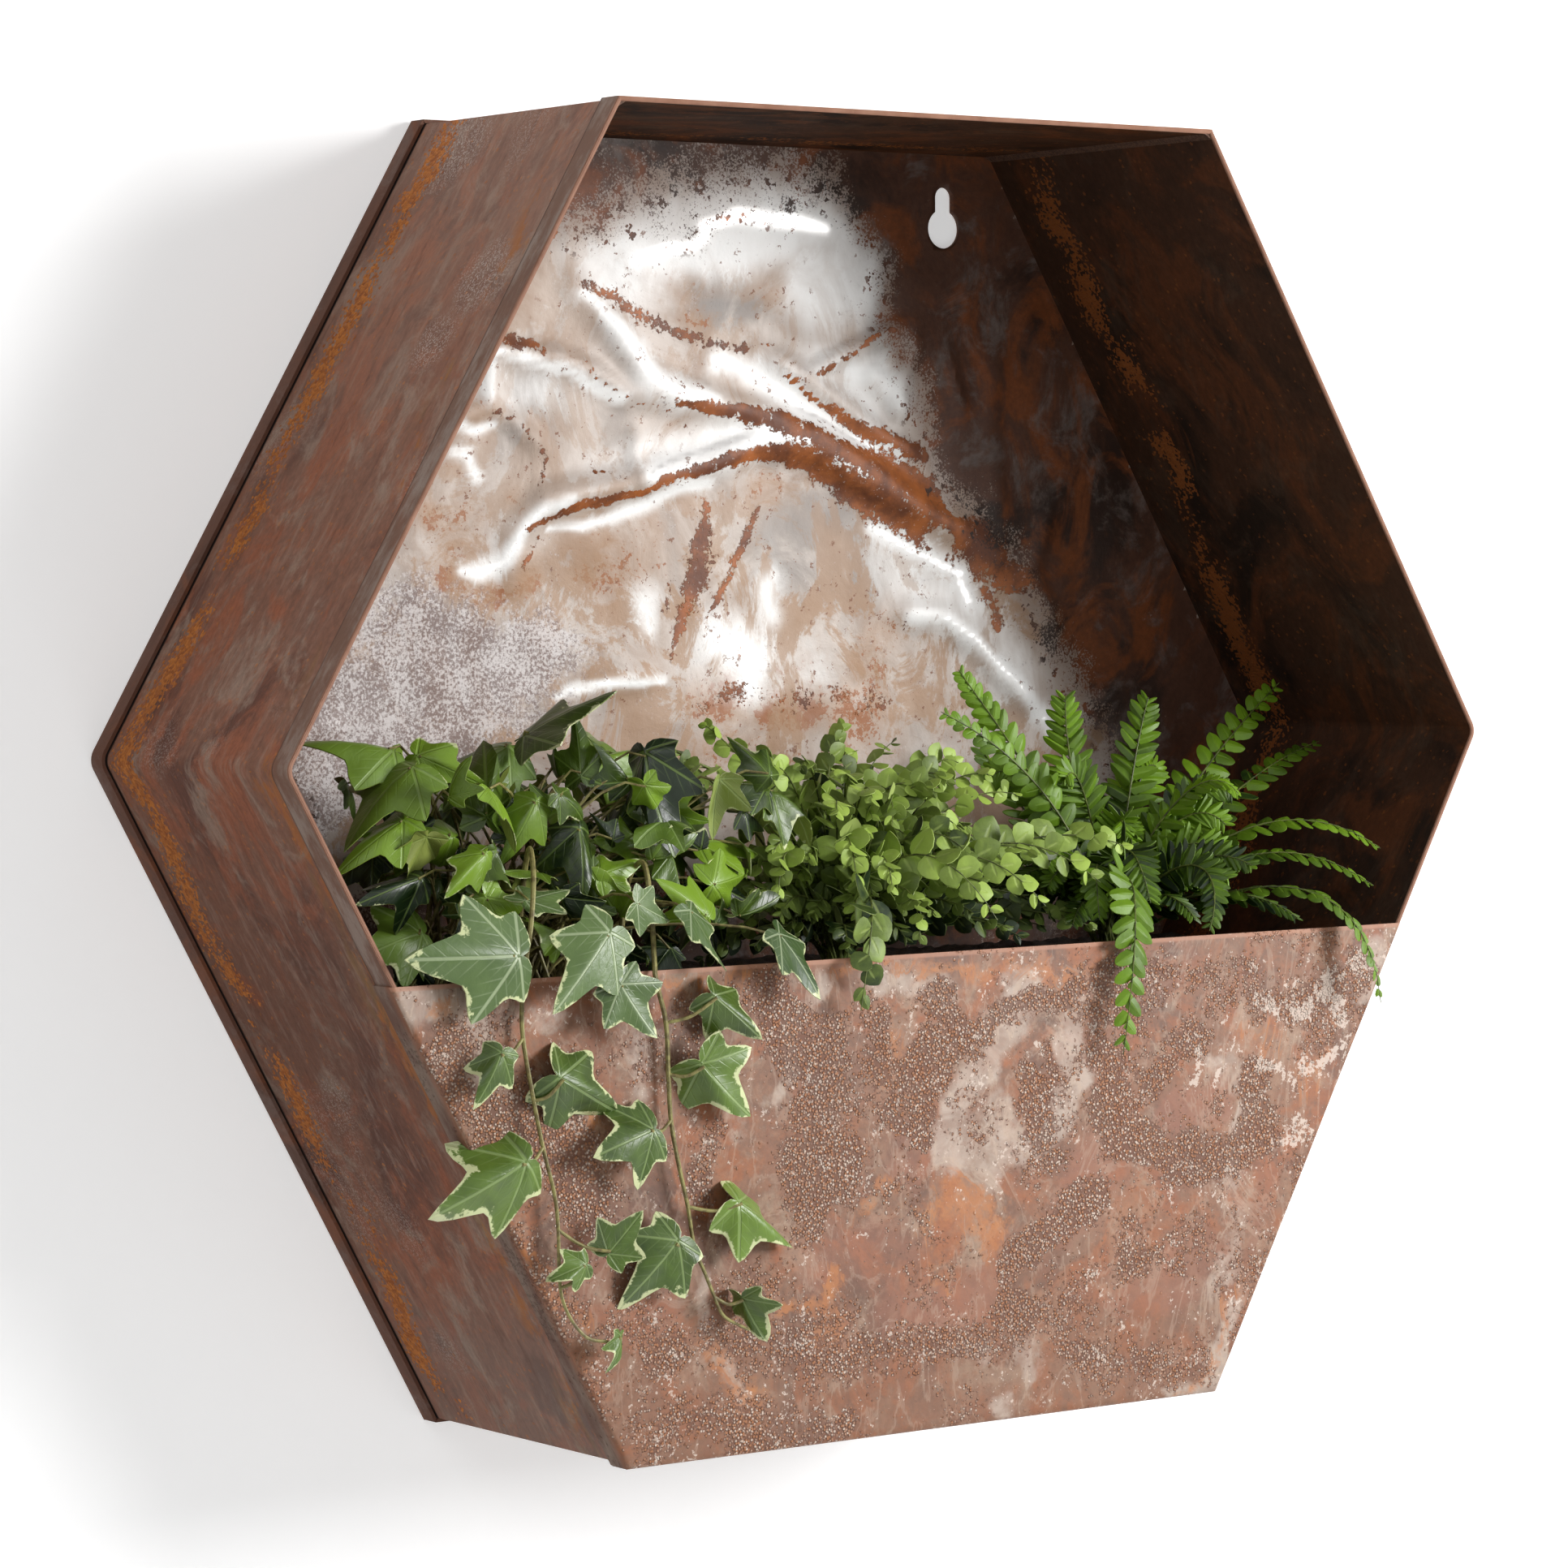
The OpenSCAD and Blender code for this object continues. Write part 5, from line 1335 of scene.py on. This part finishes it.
tree = nodes_of(ivy_skin)
where = object_place(tree)
leaf_uv = put(tree, "ShaderNodeUVMap", uv_map="leaf").outputs[0]
veins = 0.0
for vein_turn in (0, 57, -57, 105, -105):
    c, s = math.cos(math.radians(vein_turn)), math.sin(math.radians(vein_turn))
    ahead = vector_calc("DOT_PRODUCT", leaf_uv, (c, s, 0), "Value")
    aside = vector_calc("DOT_PRODUCT", leaf_uv, (-s, c, 0), "Value")
    aside = calc("ABSOLUTE", aside)
    main = times(rise(aside, 0.022, 0.008), rise(ahead, 0.0, 0.02))
    rungs = calc("FRACT", times(calc("SUBTRACT", ahead, aside), 7.0))
    rungs = times(hollow(rungs, 0.5, 0.11), rise(aside, 0.2, 0.1))
    rungs = times(times(rungs, rise(ahead, 0.02, 0.1)), 0.28)
    veins = higher(veins, higher(main, rungs))
tone = leaf_greens(where, 90.0, rgb(12, 30, 4), rgb(118, 150, 40), rgb(150, 162, 80))
frost = leaf_greens(where, 70.0, rgb(28, 54, 20), rgb(96, 119, 65), rgb(134, 152, 90))
colour = tinted(mask(tree, "pale"), tone.outputs["Color"], frost.outputs["Color"])
vein_shade = tinted(mask(tree, "pale"), rgb(150, 178, 92), rgb(198, 212, 172))
colour = tinted(times(veins, scaled(mask(tree, "pale"), 0.12, 0.3)), colour, vein_shade)
ragged = scaled(cloud(where, 130.0, 5.0, 0.65), 0.8, -0.4)
near = calc("ADD", calc("ADD", mask(tree, "margin"), ragged), times(mask(tree, "cream"), 0.1))
colour = wash(colour, rise(near, 1.01, 1.07), 0.85, (214, 220, 168))
rough = scaled(tone.outputs["Mottle"], 0.16, 0.27)
height = scaled(veins, -0.5, tone.outputs["Mottle"])
steel(colour, rough, 0.0, height, 0.0004, 0.42)

tree = nodes_of(ivy_stalk)
where = object_place(tree)
bark = cloud(where, 300.0, 4.0, 0.6)
colour = tinted(rise(bark, 0.35, 0.65), rgb(96, 84, 44), rgb(148, 142, 84))
steel(colour, scaled(bark, 0.2, 0.45), 0.0, bark, 0.0002)


# Trailing ivy stems: two stems climb out of the soil, bend over the rim and hang down before
# the front panel, each with six leaves on short stalks.
def smooth_line(points, cuts):
    """A smooth line through a row of points."""
    line = []
    for i in range(len(points) - 1):
        before, here, there, after = (points[max(i - 1, 0)], points[i], points[i + 1],
                                      points[min(i + 2, len(points) - 1)])
        for k in range(cuts):
            t = k / cuts
            curve = 2 * before - 5 * here + 4 * there - after
            swing = 3 * here - before - 3 * there + after
            line.append(0.5 * (2 * here + (there - before) * t + curve * t * t + swing * t ** 3))
    return line + [points[-1]]


trails = {
    "ivy_trail_left": (
        [(-14, -36, -14), (-14, -36, 14), (-14, -32, 38), (-18, -22, 48), (-25, -9, 38), (-31, -2, 20),
         (-36, 0.9, 3.2), (-38.5, 3, -6), (-39, 4, -22), (-35, 5, -46), (-31, 5, -64), (-26, 5, -82),
         (-25, 6, -96), (-25, 7, -118), (-21, 8, -130), (-14, 9, -138), (-6, 10, -140)],
        [(8, (-53, 11, -26), (-64, 15, -46), "straight"), (9, (-27, 11, -37), (3, 15, -56), "straight"),
         (10, (-43, 12, -68), (-82, 17, -86), "straight"), (12, (-6, 12, -106), (8, 16, -90), "straight"),
         (13, (-17, 13, -109), (-34, 17, -112), "straight"),
         (16, (0, 11, -138), (-2, 14, -152), "right_front")]),
    "ivy_trail_right": (
        [(34, -36, -14), (34, -36, 14), (35, -32, 34), (34, -20, 40), (29, -8, 20), (24, 0.9, 3.2),
         (23, 3.5, -4), (27, 4, -20), (28, 4, -40), (29, 4, -58), (32, 5, -76), (36, 5, -92),
         (39, 5, -108), (43, 6, -118), (47, 7, -128), (51, 8, -136), (62, 9, -142)],
        [(7, (45, 11, -10), (67, 16, -28), "straight"), (8, (39, 11, -36), (60, 14, -61), "straight"),
         (9, (16, 11, -60), (-12, 16, -67), "straight"), (11, (56, 11, -91), (87, 15, -110), "straight"),
         (12, (28, 10, -104), (4, 13, -127), "straight"),
         (14, (58, 10, -129), (66, 11, -148), "left_front")])}
vine_r, vine_taper, short_stalk_r = 0.0012, 0.0006, 0.0007
for node, (vine, leaves) in trails.items():
    trail, pattern = ivy_start()
    places = [plant_place(ivy_x, p) for p in vine]
    line = smooth_line(places, 5)
    stems = [[(p, vine_r - vine_taper * i / len(line)) for i, p in enumerate(line)]]
    for point, base, tip, facing in leaves:
        base, tip = plant_place(ivy_x, base), plant_place(ivy_x, tip)
        lay_ivy(trail, pattern, base, tip, facings[facing], chance, 1.0, 0.35)
        start, end = places[point], base + 0.05 * (tip - base)
        low = (start + end) / 2 - Vector((0, 0, 0.003))
        stems.append([(bent(start, low, low, end, t / 8), short_stalk_r) for t in range(9)])
    bmesh.ops.delete(trail, geom=verts_of(pattern), context="VERTS")
    add_stems(trail, stems, 1, 2)
    piece = mesh_object(trail, node + "_leaves", ivy_skin)
    piece.data.materials.append(ivy_stalk)
    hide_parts(node)
    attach(piece, "root")


# Button fern: arching wiry stems in the middle of the pocket, each with pairs of small oval
# leaflets. Their faces turn every way, so that some catch the light.
rib_r, rib_taper = 0.0007, 0.000032
foot_mm, foot_ring_r, foot_lift = -315.7, 0.0053, 0.0035
clump_r, clump_top_r, clump_h, clump_lift = 0.008, 0.0052, 0.007, 0.0034


def outline_point(edge, columns):
    """Gives the place of a leaflet's grid points from (along, half width) pairs."""
    def place(column, row):
        along, half = edge[row]
        side = 2 * column / columns - 1
        return along, side * half, max(abs(side), along ** 6)
    return place


def blade_share(s):
    """Width along a frond, as a share of its half width: a bare foot, then widest low down."""
    return 0.05 + min(1, max(0, (s - 0.12) / 0.2)) * max(0, 1.03 - s) ** 0.44


def grow_frond(shape, leaflet, stems, curve, facing, half_width, pairs, chance, habit):
    """One frond along a curve of four points, with pairs of leaflets and its rib."""
    roll, lean, droop, wide = habit
    shares = np.linspace(0.13, 0.99, 160)
    crowd = np.cumsum([1 / (0.3 + blade_share(s)) for s in shares])
    marks = [float(m) for m in np.interp((np.arange(pairs) + 0.5) / pairs, crowd / crowd[-1], shares)]
    length = sum((bent(*curve, (i + 1) / 20) - bent(*curve, i / 20)).length for i in range(20))
    tone = chance.random()
    # Fronds whose tips end low are darker: painted shade in the heart of the fern.
    light = min(1.0, max(0.35, 0.3 + 0.7 * (curve[2].z - rim_z) / 0.05))
    frond = bmesh.new()
    frond.from_mesh(leaflet)
    pattern = frond.verts[:] + frond.edges[:] + frond.faces[:]
    kept_tone = frond.verts.layers.float["tone"]
    for i, s in enumerate(marks):
        pitch = length * (marks[min(i + 1, pairs - 1)] - marks[max(i - 1, 0)]) / 2
        for side in (1, -1):
            t = min(0.995, s + side * 0.2 * pitch / length)
            middle = bent(*curve, t)
            way = (bent(*curve, min(1, t + 0.02)) - bent(*curve, t - 0.02)).normalized()
            right = Vector(facing).cross(way).normalized()
            up = way.cross(right)
            turn = math.radians(lean + 34 * s + chance.uniform(-7, 7))
            out_way = side * math.cos(turn) * right + math.sin(turn) * way
            top = Quaternion(out_way, math.radians(chance.uniform(-roll, roll))) @ up
            beside = top.cross(out_way).normalized()
            reach = half_width * blade_share(s) * chance.uniform(0.9, 1.08)
            width = max(wide * pitch, 0.34 * reach)
            shade = light * min(1, max(0, 0.4 * tone + 0.4 * s + 0.4 * chance.random() - 0.08))
            sink = droop * chance.uniform(0.5, 1.5)
            for vert in new_leaf(frond, pattern):
                x, y, z = vert.co
                height = z - sink * x * x - 0.25 * abs(y)
                vert.co = middle + reach * x * out_way + width * y * beside + reach * height * top
                vert[kept_tone] = shade
    bmesh.ops.delete(frond, geom=verts_of(pattern), context="VERTS")
    mesh = bpy.data.meshes.new("frond")
    frond.to_mesh(mesh)
    frond.free()
    shape.from_mesh(mesh)
    bpy.data.meshes.remove(mesh)
    rib = [bent(*curve, k / 16) for k in range(17)]
    stems.append([(p, rib_r - rib_taper * k) for k, p in enumerate(rib)])


def grow_fern(name, node, middle, fronds, edge, thick, half_width, pairs, habit, skin, rib_skin, seed):
    """A whole fern: fronds that rise from a clump on its root ball."""
    pattern_shape = bmesh.new()
    leaf_layers(pattern_shape)
    leaf_pattern(pattern_shape, 2, len(edge) - 1, outline_point(edge, 2), thick)
    leaflet = bpy.data.meshes.new("leaflet")
    pattern_shape.to_mesh(leaflet)
    pattern_shape.free()
    shape = bmesh.new()
    leaf_layers(shape)
    chance = random.Random(seed)
    stems = []
    foot = Vector((middle, half_depth_mm, foot_mm)) / 1000
    for i, (one, two, tip, facing, share) in enumerate(fronds):
        ring = foot_ring_r * math.sqrt(i / len(fronds))
        turn = math.radians(spiral_turn * i)
        start = foot + Vector((ring * math.cos(turn), -ring * math.sin(turn), foot_lift))
        curve = (start, plant_place(middle, one), plant_place(middle, two), plant_place(middle, tip))
        grow_frond(shape, leaflet, stems, curve, facings[facing], half_width * share, pairs, chance, habit)
    add_stems(shape, stems, 1)
    clump = bmesh.ops.create_cone(
        shape, cap_ends=True, segments=14, radius1=clump_r, radius2=clump_top_r, depth=clump_h,
        matrix=Matrix.Translation(foot + Vector((0, 0, clump_lift))))["verts"]
    for vert in clump:
        for face in vert.link_faces:
            face.material_index = 1
    piece = mesh_object(shape, name, skin)
    piece.data.materials.append(rib_skin)
    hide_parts(node)
    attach(piece, "root")


def fern_skin(name, deep, fresh, underside, scale):
    """A fern's leaflets: two greens, with a paler midrib and underside."""
    made = bpy.data.materials.new(name)
    tree = nodes_of(made)
    where = object_place(tree)
    tone = leaf_greens(where, scale, deep, fresh, underside)
    midrib = rise(mask(tree, "margin"), 0.2, 0.02)
    colour = tinted(times(midrib, 0.35), tone.outputs["Color"], underside)
    rough = scaled(tone.outputs["Mottle"], 0.15, 0.4)
    height = scaled(midrib, -0.5, tone.outputs["Mottle"])
    steel(colour, rough, 0.0, height, 0.0003, 0.35)
    return made


def inner_fronds(seed, count, spread_x, spread_y, spread_z, share):
    """Shorter fronds that fill the heart of a fern."""
    chance = random.Random(seed)
    rows = []
    for _ in range(count):
        tip = Vector((chance.uniform(*spread_x), chance.uniform(*spread_y), chance.uniform(*spread_z)))
        one = Vector((0.3 * tip.x, half_depth_mm + 0.3 * (tip.y - half_depth_mm), 0.55 * tip.z + 16))
        two = Vector((0.75 * tip.x, half_depth_mm + 0.75 * (tip.y - half_depth_mm),
                      tip.z + chance.uniform(6, 20)))
        rows.append((one, two, tip, chance.choice(("front", "up_front", "front")),
                     share * chance.uniform(0.8, 1.1)))
    return rows


button_x = 8.0
button_edge = [(0.0, 0.07), (0.12, 0.36), (0.32, 0.5), (0.56, 0.48), (0.78, 0.34), (0.93, 0.15),
               (1.0, 0.02)]
button_stems = [
    ((-40, -60, 60), (-66, -60, 84), (-92, -62, 72), "up_front", 0.9),
    ((-24, -70, 56), (-44, -82, 80), (-60, -86, 92), "front", 0.8),
    ((-8, -76, 50), (0, -84, 76), (14, -88, 90), "front", 1),
    ((8, -80, 50), (24, -90, 74), (46, -94, 82), "up_front", 0.8),
    ((10, -60, 52), (30, -50, 70), (44, -36, 36), "up_front", 1),
    ((0, -50, 50), (16, -28, 60), (30, -16, 30), "front", 0.9),
    ((-20, -50, 52), (-30, -26, 60), (-34, -16, 28), "front", 1),
    ((-36, -54, 44), (-56, -36, 54), (-66, -26, 24), "up_front", 0.9),
    ((-16, -30, 36), (-44, 14, 34), (-52, 10, -20), "straight", 1.25),
    ((-10, -40, 46), (-4, -2, 54), (22, 4, 12), "front", 1.2),
    ((10, -44, 44), (26, -12, 50), (52, -2, 16), "front", 1.2),
    ((30, -50, 44), (58, -26, 54), (86, -8, 24), "front", 1.2),
    ((-8, -32, 36), (-8, -8, 34), (-16, 2, 4), "front", 0.8),
    ((-6, -44, 54), (-4, -28, 76), (-10, -24, 50), "front", 0.9),
    ((20, -96, 30), (36, -112, 44), (48, -120, 60), "up_front", 0.9),
    ((-30, -84, 50), (-52, -100, 74), (-66, -106, 84), "up_front", 0.8),
    ((24, -66, 44), (46, -64, 58), (60, -60, 44), "up_front", 0.8),
    ((-14, -40, 44), (-18, -16, 50), (-22, -8, 24), "front", 0.8),
    ((-4, -64, 56), (6, -50, 76), (22, -40, 62), "front", 0.9),
    ((-24, -66, 58), (-36, -64, 78), (-46, -62, 60), "front", 0.9)]
fern_rib = matt("fern rib", rgb(48, 56, 18), rgb(112, 124, 50), 200.0, 0.0002, 0.45)
grow_fern("button_fern_leaflets", "button_fern", button_x,
          button_stems + inner_fronds(5, 30, (-62, 92), (-108, -20), (20, 76), 0.95)
          + inner_fronds(7, 36, (-56, 112), (-62, -8), (-4, 46), 0.95)
          + inner_fronds(17, 12, (-86, -44), (-100, -40), (-8, 34), 0.9),
          button_edge, 0.03, 0.0136, 8, (54, 20, 0.2, 0.74),
          fern_skin("button fern leaf", rgb(20, 38, 7), rgb(158, 184, 80), rgb(178, 196, 112), 120.0),
          fern_rib, 11)


# Sword fern: long arching fronds at the right. Each carries eighteen pairs of blunt leaflets,
# close together and shorter towards the tip.
sword_x = 152.83
sword_edge = [(0.0, 0.3), (0.08, 0.5), (0.28, 0.46), (0.48, 0.46), (0.66, 0.4), (0.8, 0.33),
              (0.92, 0.2), (1.0, 0.04)]
sword_fronds = [
    ((-22, -74, 50), (-52, -84, 86), (-70, -88, 111), "front", 0.7),
    ((-20, -60, 42), (-52, -66, 76), (-92, -72, 94), "front", 0.6),
    ((-2, -84, 40), (-10, -92, 70), (-10, -90, 99), "front", 1),
    ((12, -78, 40), (24, -84, 76), (35, -88, 97), "front", 0.95),
    ((34, -76, 46), (70, -84, 74), (113, -90, 102), "front", 0.8),
    ((34, -64, 40), (78, -70, 66), (122, -74, 76), "up_front", 0.7),
    ((30, -50, 44), (70, -30, 58), (98, -8, 32), "up_front", 0.6),
    ((34, -46, 34), (66, -30, 42), (94, -8, 16), "up_front", 0.6),
    ((34, -30, 26), (70, 14, 34), (76, 16, -32), "up_front", 0.55),
    ((-26, -34, 40), (-52, 18, 40), (-62, 10, -46), "straight", 0.95),
    ((10, -44, 42), (16, -10, 34), (-8, 2, 2), "front", 0.7),
    ((-30, -44, 38), (-50, -24, 40), (-56, -12, 8), "up_front", 0.8),
    ((-16, -50, 46), (-30, -20, 44), (-30, -10, 14), "front", 0.9),
    ((6, -92, 34), (30, -110, 54), (56, -118, 66), "up_front", 0.9),
    ((-10, -96, 34), (-22, -116, 58), (-30, -124, 76), "up_front", 0.9)]
grow_fern("sword_fern_leaflets", "sword_fern", sword_x,
          sword_fronds + inner_fronds(9, 20, (-58, 66), (-104, -26), (18, 68), 0.85)
          + inner_fronds(13, 10, (-62, 62), (-60, -12), (0, 34), 0.8)
          + inner_fronds(19, 7, (-80, -48), (-90, -30), (0, 40), 0.75),
          sword_edge, 0.03, 0.0186, 18, (20, 11, 0.2, 0.86),
          fern_skin("sword fern leaf", rgb(14, 34, 4), rgb(106, 142, 24), rgb(118, 148, 42), 110.0),
          fern_rib, 23)
